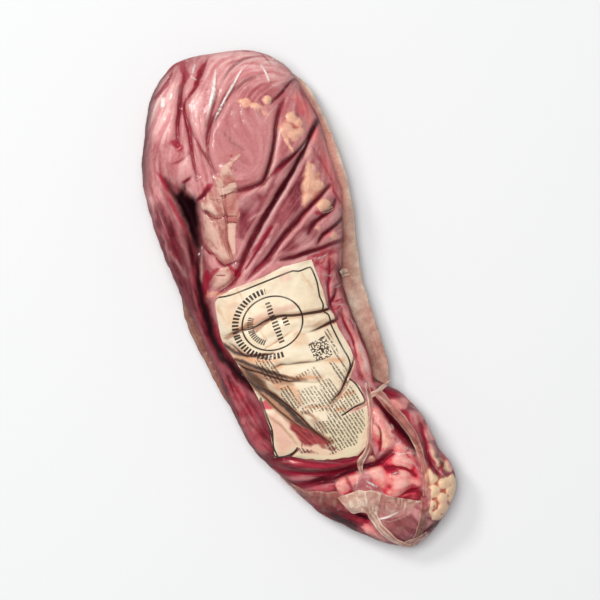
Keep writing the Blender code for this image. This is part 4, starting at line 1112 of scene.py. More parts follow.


# The film. A clear shrink bag drawn tight on the meat: it follows every valley, stands in thin crests of its own
# and shows as a whitish line wherever it is creased, with painted highlights and glints on its crests. It is the
# whole form again, a skin just above the meat.
CRESTS = (
    (0.8, ((28.5, 154.5, 0.5), (25, 152, 1), (18, 146, 1.1), (12, 141.5, 1.1), (2, 133, 1), (-6, 124, 0.3))),
    (0.7, ((20, 149, 0.3), (14, 144, 0.8), (8, 138.5, 0.8), (0, 131, 0.6), (-4, 127, 0.2))),
    (1.6, ((12.5, 161, 0.3), (9, 154, 1), (5, 147, 1.3), (0, 139, 1.1), (-5, 132, 0.3))),
    (0.8, ((41, 154, 0.3), (42, 147, 1), (42, 140, 0.9), (40, 133, 0.3))),
    (0.8, ((-38, 148, 0.3), (-33, 154, 0.9), (-29, 158, 0.4))), (1.2, ((1, 171, 0.5), (-2, 165, 1), (-5, 160, 0.5))),
    (1.3, ((-10, 158, 0.3), (-15, 151.5, 0.9), (-18.5, 145, 0.9), (-22, 137, 0.8), (-25, 128, 0.3))),
    (1.1, ((-12, 149, 0.3), (-14, 143, 0.7), (-13, 134, 0.6), (-12, 124, 0.2))),
    (1.2, ((50, 95, 0.4), (40, 85, 0.9), (29, 74, 1.2), (16, 64, 1.3), (2, 53, 1.2), (-11, 42, 0.8),
        (-20, 34.5, 0.3))),
    (1.1, ((39, 118, 0.3), (31, 103, 0.8), (23, 89, 0.9), (15, 79, 0.4))),
    (1, ((36, 62, 0.2), (22, 53, 0.7), (8, 43, 0.8), (-4, 35, 0.4))),
    (0.9, ((52, 57, 0.2), (44, 51.5, 0.7), (36, 49, 0.6), (29, 44, 0.2))),
    (0.9, ((54, 47, 0.2), (46, 42, 0.7), (38, 40.5, 0.7), (32, 36, 0.2))),
    (0.9, ((50, 33, 0.2), (40, 32.5, 0.7), (28, 33, 0.5))),
    (0.8, ((-12, 92, 0.3), (-14, 82, 0.7), (-17, 70, 0.8), (-20, 56, 0.8), (-23, 41, 0.3))),
    (0.7, ((-20, 70, 0.2), (-14, 68.5, 0.7), (-9, 66, 0.4))), (0.8, ((-50, 30, 0.3), (-44, 27, 0.8), (-37, 25, 0.4))),
    (0.8, ((3, -124, 0.4), (6, -127.5, 0.9), (8, -131, 0.5))),
    (0.9, ((-46, 96, 0.2), (-30, 99, 0.5), (-20, 98, 0.2))), (0.8, ((2, 122, 0.2), (6, 112, 0.5), (12, 100, 0.2))),
    (1.1, ((-35, 100, 0.3), (-32.4, 94.5, 1), (-30, 88, 0.4))),
)
# Where a crease has whitened the film, and painted highlights and glints on its crests: width, and paths of
# (across, along, how much)
WHITENED_AND_HIGHLIGHTS = (
    (0.36, ((20, 149, 0.2), (14, 143.6, 0.6), (8, 138, 0.55), (0, 131, 0.3)),
        ((32, -18, 0.2), (34.6, -26, 0.5), (34.2, -31, 0.2)), ((30.6, -40, 0.3), (31.6, -50, 0.6), (30, -60, 0.3)),
        ((19, -127, 0.2), (22, -126, 0.4), (26, -126.6, 0.2)), ((30, -109, 0.4), (34, -108.6, 0.6))),
    (0.4, ((14, 62, 0.1), (4, 53, 0.2), (-6, 45, 0.15)), ((6, -148.5, 0.4), (14, -149, 0.4)),
        ((2, -127, 0.5), (5, -130.5, 0.4)), ((-39.2, 57, 0.8), (-38.9, 57.3, 0.8)), ((47, 79, 0.5), (48.5, 75, 0.5)),
        ((34, -113, 0.5), (36, -114, 0.5), (38, -117, 0.4)), ((-56, 92, 0.2), (-57, 80, 0.3), (-57, 68, 0.1)),
        ((26, 23.6, 0.3), (31, 22.2, 0.6), (36, 23.4, 0.3)), ((27, 12, 0.2), (31, 9.6, 0.5), (34, 8, 0.2)),
        ((30, 2, 0.2), (34, 0.6, 0.5), (37, 2, 0.2)), ((27, -10, 0.3), (31, -10.6, 0.6), (34, -12.6, 0.3)),
        ((-1.6, -118, 0.3), (-2.4, -122, 0.6), (-5, -126, 0.3)),
        ((26, -112.6, 0.4), (30, -115.6, 0.7), (36, -117.6, 0.5), (40, -120, 0.2)),
        ((34, -121, 0.4), (36.6, -126, 0.5), (37, -131, 0.2))),
    (0.48, ((-37, 149, 0.3), (-33, 154, 0.5), (-30, 157, 0.2)), ((-33, 164, 0.2), (-26, 168, 0.4)),
        ((3, -124, 0.5), (5.5, -127, 0.8), (8, -130, 0.5)), ((-43, 54, 0.9), (-42.6, 54.4, 0.9)),
        ((-22.6, 39.4, 0.8), (-22.3, 39.6, 0.8)), ((-24.5, 81.5, 0.4), (-22.5, 77, 0.5), (-21, 73, 0.3)),
        ((40, 140, 0.1), (46, 136, 0.3), (52, 131, 0.1)), ((9, 26, 0.2), (26, 26.5, 0.3), (40, 25, 0.1)),
        ((46, -88, 0.2), (52, -94, 0.3), (54, -104, 0.1)), ((-34, -94, 0.1), (-20, -101, 0.3), (-6, -108, 0.1))),
    (0.5, ((50, 96.5, 0.2), (46, 93, 0.4), (42, 91, 0.1)),
        ((36, 110, 0.1), (30, 100, 0.24), (22, 88, 0.2), (15, 79.5, 0.1)),
        ((20, 53, 0.1), (8, 44, 0.24), (-2, 37, 0.1)), ((-43.5, 47, 0.2), (-46, 42, 0.35), (-48, 37, 0.2))),
    (0.55, ((28.5, 154.5, 0.7), (25, 152, 1), (18, 146, 1), (12, 141.5, 0.9), (2, 133, 0.6), (-6, 124, 0.1)),
        ((-46, 42, 0.1), (-43.6, 48, 0.3), (-41, 53, 0.3), (-38.6, 58.5, 0.35))),
    (0.56, ((32, -96, 0.8), (32.5, -99, 0.6)), ((24, -116, 0.2), (32, -116.5, 0.4), (36, -118, 0.2))),
    (0.6, ((41, 153.5, 0.5), (42, 147, 0.9), (42, 141, 0.5)),
        ((44, 88, 0.1), (38, 82, 0.3), (30, 74, 0.34), (20, 66.8, 0.36), (10, 59.5, 0.26), (0, 51.5, 0.28),
        (-11, 42.5, 0.2)), ((1, -150.6, 0.8), (7, -151.6, 1), (15, -151, 0.6))),
    (0.64, ((-4, 163, 0.6), (-2, 160, 0.6)), ((28, 116.5, 0.2), (34, 121, 0.3), (40, 124, 0.3))),
    (0.72, ((1, 170, 0.5), (-2, 165, 0.6))), (0.88, ((-22, 154.5, 0.8), (-20, 157, 0.9))),
    (0.9, ((12.5, 161, 0.4), (9, 154, 0.8), (6, 148, 1), (3, 144, 0.95), (0, 139.5, 0.7), (-5, 133, 0.3))),
    (1.2, ((7.5, 151, 0.2), (5, 147, 0.6), (2, 143, 0.4))), (1.6, ((-28, 152.5, 0.9), (-26.5, 156, 0.95))),
    (1.9, ((31, -35, 0.15), (32.6, -45, 0.36), (31.6, -56, 0.36), (30, -65, 0.15))),
    (2.4, ((8, 152, 0.1), (4, 145, 0.4), (0, 140, 0.15))),
    (3.6, ((-26, 150, 0.2), (-18, 157, 0.25), (-12, 160, 0.1))),
)


def film_rise_over_plan():
    total = meat_rise / MM
    for width, points in CRESTS:
        total = total + stroke(PLAN_X, PLAN_Y, width, points)
    return (total + 0.12 * (1 + grain(PLAN_X, PLAN_Y, 3.1 * MM, 21)) + 0.5 * (fine_streaks - 0.5)) * MM


film_rise = film_rise_over_plan()
film, fx, fy, _, film_up = form_mesh("film", 0.0, film_rise)
white_and_highlight = brushed(PLAN_X, PLAN_Y, WHITENED_AND_HIGHLIGHTS)
# fine pale wrinkles run over the head, painted as highlight lines
here_and_there = 0.4 + 0.6 * smoothstep(0.5 + grain(PLAN_X, PLAN_Y, 14 * MM, 33))
head_end = smoothstep((PLAN_Y - HEAD_FROM) / (20 * MM)) * here_and_there
white_and_highlight = np.maximum(white_and_highlight, 0.34 * smoothstep((fine_streaks - 0.76) / 0.14) * head_end)
keep_mask(film, "white_and_highlight", read_plan(white_and_highlight, fx, fy) * film_up)
keep_mask(film, "streak", read_plan(fine_streaks, fx, fy))
# it shines less where it turns away and where it bridges a dark valley
dull = np.maximum(np.maximum(rim, deep_shade), painted(patches=(
    (0.85, 8, ((-72, 112), (-54, 112), (-43, 92), (-43, 60), (-50, 20), (-46, -30), (-42, -90), (-52, -100),
        (-72, -60))),
    (0.7, 8, ((46, 128), (62, 132), (68, 100), (66, 50), (50, 30), (36, 24), (36, -66), (50, -80), (60, -110),
        (52, -116), (40, -90), (28, -60), (26, 26), (46, 50))),
    (0.6, 8, ((-20, 30), (20, 80), (44, 90), (46, 60), (20, 30))),
    (0.7, 6, ((-50, -90), (-40, -96), (0, -108), (20, -112), (10, -118), (-44, -112), (-10, -156), (-44, -130))),
)))
keep_mask(film, "sheen", 1 - read_plan(dull, fx, fy))

material, tree = new_material("clear shrink film")
place = own_place()
wrinkle = noise(place, 420, 3, distortion=0.8)
height = worked("ADD", times(mask_of("streak"), 1.2), wrinkle)
bump = bumped(height, 0.22, 0.5 * MM)
clear = put("ShaderNodeBsdfTransparent", {"Color": (0.985, 0.96, 0.955, 1)})
gloss = put("ShaderNodeBsdfGlossy", {"Color": (1, 1, 1, 1), "Roughness": 0.2, "Normal": bump})
sheen = ranged(mask_of("sheen"), 0, 1, 0.006, 0.034)
skin = put("ShaderNodeMixShader", {0: sheen, 1: clear.outputs[0], 2: gloss.outputs[0]})
# the milky white stands for whitened creases and for painted highlights and glints
white_and_highlight_shader = put("ShaderNodeBsdfPrincipled", {"Base Color": shade(255, 244, 238), "Roughness": 0.3, "Normal": bump})
veil = times(ranged(mask_of("white_and_highlight"), 0.0, 0.8), ranged(wrinkle, 0.25, 0.6, 0.6, 1.0))
both = put("ShaderNodeMixShader", {0: veil, 1: skin.outputs[0], 2: white_and_highlight_shader.outputs[0]})
surfaced(both)
film.data.materials.append(material)
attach(film, "root")
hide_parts("sealed_pack")


# The film's loose folds. Where the bag lies double or is gathered it turns beige and milky: a rim along each side,
# two ribbons, a fan and ropes at the tail. Each is a pleated strip stretched between two curved sides.
def along_evenly(points, count):
    """So many places spread evenly along a smooth path."""
    drawn = along_path(points)
    walked = np.concatenate([[0], np.cumsum(np.hypot(*np.diff(drawn[:, :2], axis=0).T))])
    at = np.linspace(0, walked[-1], count)
    return np.stack([np.interp(at, walked, drawn[:, k]) for k in range(drawn.shape[1])], 1)


def strip(name, one_side, other_side, rows, columns):
    """A flat sheet between two sides, and the shares along and across it of every vertex."""
    bm = bmesh.new()
    bmesh.ops.create_grid(bm, x_segments=columns, y_segments=rows, size=0.5)
    mesh = bpy.data.meshes.new(name)
    bm.to_mesh(mesh)
    bm.free()
    across, along = vertex_places(mesh)[:, :2].T + 0.5
    row = np.rint(along * rows).astype(int)
    one, other = along_evenly(one_side, rows + 1)[row], along_evenly(other_side, rows + 1)[row]
    x = one[:, 0] * (1 - across) + other[:, 0] * across
    y = one[:, 1] * (1 - across) + other[:, 1] * across
    return mesh, x + 0.4 * MM * grain(x, y, 4 * MM, 75), y + 0.4 * MM * grain(x, y, 4 * MM, 76), across, along


def finish_strip(name, mesh, x, y, z, veil, tint, dark_seams_and_shade, flesh_and_painted_light=0.0, thickness=0.0):
    """Lays the strip, keeps its masks, thickens it if asked, and gives it its film."""
    move_vertices(mesh, x, y, z)
    piece = bpy.data.objects.new(name, mesh)
    for mask, values in (("veil", veil), ("tint", tint), ("dark_seams_and_shade", dark_seams_and_shade), ("flesh_and_painted_light", flesh_and_painted_light)):
        keep_mask(piece, mask, np.ones(len(x)) * values)
    bm = bmesh.new()
    bm.from_mesh(mesh)
    if sum(face.normal.z for face in bm.faces) < 0:
        bmesh.ops.reverse_faces(bm, faces=bm.faces)
    if thickness:
        bmesh.ops.solidify(bm, geom=bm.faces[:], thickness=thickness)
        bmesh.ops.recalc_face_normals(bm, faces=bm.faces)
    bm.to_mesh(mesh)
    bm.free()
    mesh.shade_smooth()
    scene.collection.objects.link(piece)
    mesh.materials.append(DOUBLED_FILM)
    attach(piece, "root")
    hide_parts("sealed_pack")


DOUBLED_FILM, tree = new_material("doubled shrink film")
place = own_place()
cloud = noise(place, 120, 3)
fine = noise(place, 500, 3, distortion=1.0)
warm = mixed(ranged(cloud, 0.35, 0.65), (188, 100, 88), (226, 150, 132))
cool = mixed(ranged(cloud, 0.35, 0.65), (214, 182, 162), (244, 221, 199))
colour = mixed(mask_of("tint"), warm, cool)
colour = mixed(ranged(fine, 0.4, 0.75, 0, 0.2), colour, (160, 112, 98))
# dark seams, and painted shade in the folds' hollows and along the rims' inner side
colour = mixed(mask_of("dark_seams_and_shade"), colour, (110, 70, 60))
# meat showing through, painted lighter
colour = mixed(mask_of("flesh_and_painted_light"), colour, (255, 188, 170))
bump = bumped(fine, 0.3, 0.4 * MM)
opacity = times(mask_of("veil"), ranged(fine, 0.3, 0.6, 0.75, 1.0))
doubled = put("ShaderNodeBsdfPrincipled", {
    "Base Color": colour, "Roughness": 0.38, "Alpha": opacity, "Normal": bump})
surfaced(doubled)

# The rims lie flat beside the pack: name, height, which way the pack is, and (across, along) of the outer side
RIM_ROWS, RIM_COLUMNS = 240, 26
RIM_THICKNESS = 0.8 * MM
RIM_OVERLAP = 4
RIMS = (
    ("right.rim", 17, -1, ((50, 155), (60.5, 141.5), (64.6, 134), (67, 122), (68.4, 98), (67.6, 74), (64, 50),
        (57.3, 26), (51.2, 2), (49.8, -12), (47, -48), (46.2, -58), (43.5, -66), (41, -71))),
    ("left.rim", 16, 1, ((-65, 34), (-67.5, 24), (-68.8, 12), (-68.2, 0), (-66.4, -16), (-64.9, -32), (-62.8, -45),
        (-59, -54))),
)
for name, height, inward, outer in RIMS:
    edges = [section_at(np.array([along * MM]), 0.0)[0 if inward > 0 else 1][0] / MM for _, along in outer]
    inner = [(edge + RIM_OVERLAP * inward, along) for edge, (_, along) in zip(edges, outer)]
    mesh, x, y, across, along = strip(name, outer, inner, RIM_ROWS, RIM_COLUMNS)
    ripple = grain(x, y, 5 * MM, 71) + 0.6 * grain(x, y, 2.2 * MM, 72)
    z = (height + 0.7 * ripple * np.sin(math.pi * across)) * MM
    # milky outside, tinged where the pack shows through, with a few creases along it and painted shade along its
    # inner side
    wander = across + 0.05 * grain(x, y, 14 * MM, 73)
    browned = smoothstep((y + 14 * MM) / (18 * MM)) * smoothstep((70 * MM - y) / (24 * MM)) if inward < 0 else 1
    low_end = smoothstep((8 * MM - y) / (60 * MM))
    tint = 0.95 - 0.6 * browned * smoothstep((wander - 0.1) / 0.5) + 0.2 * grain(x, y, 12 * MM, 74) - 0.4 * low_end
    # meat shows through its inner side at the head's end, painted lighter there against the pack's shadow
    fleshy = smoothstep((y - 36 * MM) / (24 * MM)) * smoothstep((wander - 0.1) / 0.3)
    tint = tint - 0.8 * fleshy - (0.35 if inward > 0 else 0)
    lines = np.exp(-((((wander * 5) % 1 - 0.5) / 0.12) ** 2)) * smoothstep(grain(x, y * 0.3, 5 * MM, 83))
    rim_seams_and_shade = 0.26 * browned + 0.3 * low_end + 0.3 * lines + 0.3 * smoothstep((across - 0.75) / 0.3)
    rim_seams_and_shade = rim_seams_and_shade + (0.5 - 0.4 * low_end if inward > 0 else 0.06 * low_end - 0.2 * fleshy)
    finish_strip(name, mesh, x, y, z, 1, tint, rim_seams_and_shade, 0.75 * fleshy, RIM_THICKNESS)

# The rest lie on the pack: two sides, height above the skin, swell of the middle, number and depth of lengthwise
# pleats, how milky, and how pale
FOLD_ROWS_PER_MM, LEAST_FOLD_ROWS = 1.6, 36
FOLD_COLUMNS, WIDE_FOLD_COLUMNS = 20, 48
FOLDS = (
    ("ribbon.outer", ((29, -73), (32.2, -84), (36, -94), (39, -104), (40.6, -114), (40.2, -124), (38, -135),
        (34, -147)),
        ((34.6, -72.5), (38.6, -84), (42.4, -94), (44.8, -104), (45.4, -114), (44.4, -124), (42.4, -136), (38, -149)),
        0.4, 0.9, 1, 0.3, 0.6, 0),
    ("ribbon.inner", ((26.5, -64), (23.5, -76), (18.5, -88), (13.5, -98), (9, -105), (1.5, -110.5), (1.6, -119)),
        ((29.5, -65), (26.5, -77), (21.5, -89), (16.5, -99.5), (11, -107.5), (5.5, -113), (3.4, -119.5)), 0.4, 0.7, 1,
        0.4, 0.6, 0.25),
    ("hem", ((27, -71.5), (34, -70.6), (43, -69.6)), ((27, -75), (34, -73.6), (42, -71.4)), 0.5, 0.8, 1, 0.1, 0.85,
        0.6),
    ("fan.left", ((-18.6, -127.4), (-12, -127.4), (-4, -127.6), (1, -130), (4.5, -131), (9, -135.5)),
        ((-15, -138), (-12.5, -141.5), (-7, -142.6), (-3.6, -145), (-1.6, -148.5), (0.6, -149)), 0.35, 0.4, 0, 0,
        0.92, 0.7),
    ("fan.right", ((6.5, -134), (10, -136), (16, -140.5), (24, -145.5), (31.5, -150)),
        ((1, -150), (3.4, -153.4), (10, -155.6), (19, -155.6), (27, -152.6)), 0.3, 0.3, 0, 0, 0.72, 0.5),
    ("veil.low", ((3, -152), (9, -154.6), (18, -155), (25, -152.5)),
        ((8.5, -167), (12, -168), (18, -165.6), (24.5, -157)), 0.25, 0.2, 0, 0, 0.14, 0),
    ("flap", ((-48.4, -101), (-41.6, -110), (-35.6, -116), (-29, -118.6), (-22, -121.8), (-16.4, -123.4),
        (-17, -129)), ((-50.4, -105), (-45, -116), (-38, -127), (-31, -133), (-24, -136), (-19, -136), (-17, -136)),
        0.3, 0.3, 0, 0, 0.38, 0),
    ("rope.left", ((-5, -143.5), (-3.6, -151), (-1.4, -159), (2.6, -167), (9.5, -176)),
        ((1, -147), (2, -153), (5, -161), (8.6, -169), (14, -177)), 0.3, 1.8, 2, 0.8, 0.85, 0.4),
    ("rope.right", ((31, -149.5), (27.4, -157), (23.4, -164.6), (18.4, -171), (12.6, -176)),
        ((36.4, -149.6), (33, -158), (28, -166.5), (21.5, -173.4), (15.4, -177.6)), 0.3, 1.2, 2, 0.6, 0.34, 0),
    ("tail.tip", ((7.6, -172.5), (13.5, -172), (20, -172.6), (27, -171)),
        ((11, -177.5), (14.6, -178.6), (19, -178), (28, -174)), 0.3, 0.5, 0, 0, 0.6, 0.6),
    ("tag.upper", ((42, 51), (46, 50.5), (50, 51)), ((42, 48.5), (46, 48), (50, 48.5)), 0.5, 0.4, 1, 0.1, 0.4, 0.6),
    ("tag.middle", ((38.4, 9.5), (41.5, 10.4), (44.4, 9)), ((38.8, 5.6), (42, 5), (44, 4.8)), 0.5, 0.6, 1, 0.2, 0.75,
        0.9),
)
for name, one_side, other_side, lift, swell, pleats, depth, thick, tint in FOLDS:
    rows = int(FOLD_ROWS_PER_MM * sum(math.dist(a, b) for a, b in zip(one_side, one_side[1:])))
    wide = not pleats
    columns = WIDE_FOLD_COLUMNS if wide else FOLD_COLUMNS
    mesh, x, y, across, along = strip(name, one_side, other_side, max(LEAST_FOLD_ROWS, rows), columns)
    z = top_height(x, y, 0.0, film_rise)
    # long pleats wander a little, and short ones run across a wide fold
    pleat = 0.5 + 0.5 * np.sin(2 * math.pi * pleats * (across + 0.35 * grain(x, y, 12 * MM, 77)))
    if wide:
        short = grain(along * 70 * MM, across * 9 * MM, 5 * MM, 81)
        depth, pleat = 0.9, np.abs(short + 0.4 * grain(x, y, 3 * MM, 82))
    z = z + (lift + swell * np.sin(math.pi * across) + depth * pleat) * MM
    border = np.minimum(across, 1 - across) * math.dist(one_side[1], other_side[1])
    lip = np.exp(-(((border - 0.35) / 0.4) ** 2)) * (0.4 + 0.6 * smoothstep(0.5 + grain(x, y, 9 * MM, 84)))
    # painted shade in the hollows of the pleats
    dark_seams_and_shade = 0.55 * smoothstep((0.2 - pleat) / 0.2) * smoothstep(grain(x, y, 8 * MM, 78) / 0.5) * (border > 0.6)
    veil = thick * (0.85 + 0.2 * pleat + 0.3 * grain(x, y, 7 * MM, 79)) + 0.3 * lip
    if name in ("flap", "veil.low", "fan.right"):  # they thin out towards their second side
        veil = veil * smoothstep((1.04 - across) / 0.9)
    shine = 0.5 * smoothstep((pleat - (0.4 if wide else 0.75)) / 0.25)
    veil = veil + 0.2 * shine * wide
    finish_strip(name, mesh, x, y, z, veil, tint + 0.3 * grain(x, y, 8 * MM, 80) + 0.5 * lip + shine, dark_seams_and_shade)


# The paper label. A cream card laid on the meat inside the bag, soaked and creased with it. It carries a plain
# ring with bars round it, border lines, rows of plain marks, bars and a field of plain blocks.
LABEL_LIFT = 0.45 * MM  # above the meat
LABEL_STEP = 0.4 * MM
LABEL_OUTLINE = (
    (-44, 23), (-30, 25), (-10, 24.5), (5, 26), (24, 23.5), (23.5, 2), (22, -8), (24, -15), (23.5, -24), (26, -40),
    (25.5, -49), (18.5, -58), (22.5, -65), (22.5, -77), (19, -88), (13, -102), (4, -106.5), (-12, -103), (-26, -97.5),
    (-36, -91), (-47, -88), (-43.5, -72), (-41.5, -52), (-43, -40), (-45.5, -28), (-48, -14), (-50, -8), (-50, -1),
    (-48.4, 6), (-46.5, 15),
)
RING = (-15, -5.5, 20, 17.2)  # centre and half sizes
RING_MEAN = 18.5 * MM
# The bars round the ring lie in arcs: radius and half width in ring sizes, and where the arc starts and ends
RING_ARCS = ((1.235, 0.11, 82, 268), (0.74, 0.1, 140, 232))
LINE_REACH, LINE_SHARE = 4 * MM, 0.135  # the line mask's reach, and the share of it that is inked
ROW_PITCH, ROW_TURN = 2.1 * MM, -12  # degrees
BAR_PITCH, BARS_PER_RADIAN = 2.2 * MM, 9.5
BLOCK = 0.85 * MM
BORDERS = (
    ((-46, 24.5), (-42, 23.4), (-36, 22), (-29, 21.4), (-10, 21.3), (8, 21.2), (11, 20.6), (14, 19.4), (20, 19.3),
        (21.8, 18), (22, 10), (21, 4), (20, -1), (20.2, -6), (19, -9)),
    ((19, -11.5), (20.8, -14), (20.6, -18), (20, -20.5), (20.6, -30), (21.4, -38), (22.4, -45), (21.6, -50),
        (18, -54.5)),
    ((18, -58), (20, -61.5), (21.4, -67), (21.6, -75.6), (14, -76.2), (5, -78)),
    ((-41, -48), (-42, -55), (-42.6, -63), (-42.8, -70), (-44, -78), (-46, -83), (-46, -87.5), (-40, -89.4),
        (-34, -89), (-30.5, -87)),
    ((-40.5, -48), (-41, -56), (-41.2, -64), (-41.6, -71), (-44.6, -80), (-44.8, -86), (-44.6, -87.4)),
)

label, lx, ly = cut_sheet("label", LABEL_OUTLINE, LABEL_STEP)
move_vertices(label.data, lx, ly, top_height(lx, ly, FILM_GAP, meat_rise) + LABEL_LIFT)
gaps = [path_gap(lx, ly, [(*point, 0) for point in line])[0] for line in BORDERS]
ring_x, ring_y, ring_wide, ring_high = RING
round_x, round_y = (lx / MM - ring_x) / ring_wide, (ly / MM - ring_y) / ring_high
sizes = np.hypot(round_x, round_y)
keep_mask(label, "line", np.minimum(np.min(gaps, axis=0), np.abs(sizes - 1) * RING_MEAN) / LINE_REACH)


def stain(name, **drawn):
    keep_mask(label, name, read_plan(painted(**drawn), lx, ly))


# painted shade: dark in each crease, brown beside it
crease_shade = sum(stroke(PLAN_X, PLAN_Y, 1.0, points) for _, points in LABEL_CREASES)
crease_brown_shade = sum(stroke(LOOSE_X, LOOSE_Y, 3.0, points) for _, points in LABEL_CREASES)
keep_mask(label, "crease_shade", -read_plan(crease_shade, lx, ly) / 1.7)
keep_mask(label, "crease_brown_shade", -read_plan(crease_brown_shade, lx, ly) / 2)
# painted shadow of the folds over the card
stain("fold_shadow", patches=(
    (0.8, 4, ((-46, -22), (-41, -27), (-37, -32), (-33.6, -38), (-34, -44), (-39, -42), (-43.6, -35))),
    (0.5, 5, ((-42, -44), (-36, -44), (-28, -57), (-22, -70), (-17, -80), (-20, -84), (-27, -76), (-33, -64),
        (-38, -54))),
    (0.55, 3, ((-46, -22), (-40, -26), (-33, -31), (-29, -36), (-33, -38), (-40, -34))),
    (0.5, 3, ((-50, -3), (-41, 0), (-31, 1), (-24, -1), (-34, -4.4), (-46, -5))),
    (0.5, 1.6, ((-28, -2.5), (-12, -2.6), (-18, -4.6), (-26, -7.4), (-31, -8))),
    (0.5, 3, ((-52, -6), (-46, -8), (-42, -14), (-41, -18), (-46, -15), (-51, -10))),
    (0.35, 4, ((-18, -72), (-10, -72), (-6, -82), (-10, -88), (-14, -80))),
), strokes=(
    (0.8, ((-39, -18, 0.7), (-30, -21.5, 0.8), (-22, -24, 0.6))),
    (1.5, ((-47, -18, 0.8), (-40, -24.6, 1), (-33, -29.6, 1), (-28, -34.4, 1), (-22, -39.4, 0.95), (-14, -44.8, 0.7),
        (-8, -48, 0.4)), ((-52, -4.4, 0.9), (-47.5, -9.6, 1), (-43, -15.4, 1), (-39, -19.4, 0.8))),
    (1.6, ((-19, -66, 0.4), (-14, -70, 0.5), (-12, -76, 0.4)),
        ((-2, -69.6, 0.3), (6, -67, 0.5), (14, -61, 0.5), (22, -53.6, 0.4)),
        ((-44, -50, 0.2), (-40, -60, 0.35), (-34, -72, 0.4), (-30, -84, 0.3))),
    (1.8, ((4, -16, 0.3), (12, -17, 0.4), (20, -16, 0.2))),
    (2.4, ((-42, -27, 0.3), (-34, -35, 0.5), (-26, -42, 0.5), (-18, -47, 0.4))),
    (2.5, ((-46, -26, 0.7), (-42.6, -36, 0.9), (-37, -44, 1), (-31.4, -52, 1), (-26.6, -62, 1), (-22.4, -72, 1),
        (-18, -80, 0.9), (-12, -88, 0.7), (-8, -92, 0.5))),
))
# a blood stain soaked into the card, with painted shade along some creases, the flap's edge and the bottom edge
stain("red", patches=(
    (0.85, 6, ((-29, -68), (-26, -70), (-22, -76), (-15, -83), (-8, -92), (-11, -94), (-17, -91), (-22, -90),
        (-26, -86), (-28.6, -80), (-30.5, -73))),
    (0.75, 2, ((-52, 26), (-40, 26.5), (-42, 22.5), (-47, 20), (-50, 12), (-53, 12))),
    (0.5, 2, ((4, -78), (14, -76.5), (24, -76), (24, -79), (14, -79))),
    (0.6, 2, ((-20, -88), (-12, -90), (-6, -97), (-10, -98), (-16, -94))),
), strokes=(
    (0.8, ((-43.4, -60, 0.3), (-43.6, -72, 0.4), (-46, -82, 0.5))),
    (0.9, ((18, -9.5, 0.7), (23, -10, 0.9)), ((12, -19.6, 0.4), (24, -19.4, 0.9)),
        ((-37, -91, 0.7), (-30, -95.4, 0.9), (-20, -100.4, 0.9), (-8, -104.6, 0.9), (4, -106.6, 0.9),
        (12, -103, 0.6))),
    (1, ((-22, -78, 0.5), (-27, -86, 0.6), (-28, -92, 0.4))),
    (1.2, ((-47, -88.5, 0.8), (-38, -90.5, 0.8), (-30, -88, 0.7)), ((16, -56, 0.5), (22, -51, 0.7), (27, -44, 0.6))),
    (1.6, ((-30, -90, 0.5), (-24, -92, 0.6), (-20, -96, 0.4))),
))
stain("pink", patches=(
    (1, 2.5, ((-42, -51), (-38, -50), (-34, -54), (-31, -60), (-35, -58.4), (-42, -56))),
    (0.6, 3, ((-29, 2.6), (-10, 3), (4, 1.4), (6, -2), (-8, -1.4), (-28, -0.6))),
    (0.7, 2, ((8, -76.6), (21, -75.4), (22, -79), (12, -79))), (0.5, 2.5, ((0, 23), (8, 23), (7, 16), (0, 16))),
    (0.5, 3, ((-34, 24), (-22, 26), (-8, 24), (-20, 22))), (0.5, 3, ((-43, -80), (-37, -78), (-36, -86), (-44, -86))),
    (0.7, 6, ((-42, -60), (-34, -60), (-31, -86), (-44, -88))),
    (0.6, 2, ((-33, -76), (-29, -78), (-30, -86), (-34, -84))),
    (0.55, 6, ((-34, -64), (-28, -66), (-24, -80), (-12, -93), (-16, -98), (-28, -92), (-33, -80))),
), strokes=(
    (1.2, ((6, -105, 0.5), (11, -100, 0.5), (16, -92, 0.3))),
    (1.6, ((-26, -93, 0.4), (-14, -98, 0.5), (-4, -100, 0.3))),
))
# peach tint, with painted shade beside the creases
stain("peach_and_crease_shade", patches=(
    (0.35, 6, ((-44, 4), (-38, 18), (-30, 20), (-34, 2))), (0.35, 4, ((-8, -24), (2, -28), (2, -20), (-2, -14))),
    (0.5, 4, ((-44, -14), (-38, -12), (-37, -18), (-42, -19))),
), strokes=(
    (0.5, ((15, 18, 0.4), (18, 6, 0.5)), ((-27, -19.4, 0.7), (-16, -17.2, 0.9), (-3, -14.6, 0.4))),
    (0.6, ((-28, 27, 0.4), (-27, 14, 0.6), (-26, 6, 0.3)), ((-24, -7, 0.4), (-23, -14, 0.6))),
    (0.8, ((-2, -22, 0.3), (0, -27, 0.5))),
    (1, ((-16, -64.5, 0.5), (-8, -67.4, 0.7), (-2, -68.4, 0.5)), ((-25, -33, 0.8), (-20, -33, 0.8))),
    (1.2, ((-44, 18, 0.5), (-43, 8, 0.4))),
    (1.4, ((-14, -43, 0.5), (-4, -48, 0.8), (2, -50, 0.4)), ((8, -66, 0.8), (17, -66.5, 0.75)),
        ((3, -73, 0.8), (8, -74.5, 0.7))),
    (1.7, ((-39, -28, 0.6), (-31, -34, 0.9), (-24, -39.4, 0.7))),
    (1.8, ((-40, 0, 0.5), (-30, -0.6, 0.8), (-20, 0.6, 0.4)), ((8, -41, 0.5), (18, -44.5, 0.85))),
    (2, ((-45, -17, 0.7), (-38, -21.5, 0.95), (-30, -25.5, 0.8), (-22, -29, 0.5))),
    (2.2, ((-29, -40, 0.8), (-26, -46, 0.8), (-19, -50, 0.7), (-18, -60, 0.6))),
))
keep_mask(label, "green", smoothstep((-72 * MM - ly) / (16 * MM)))
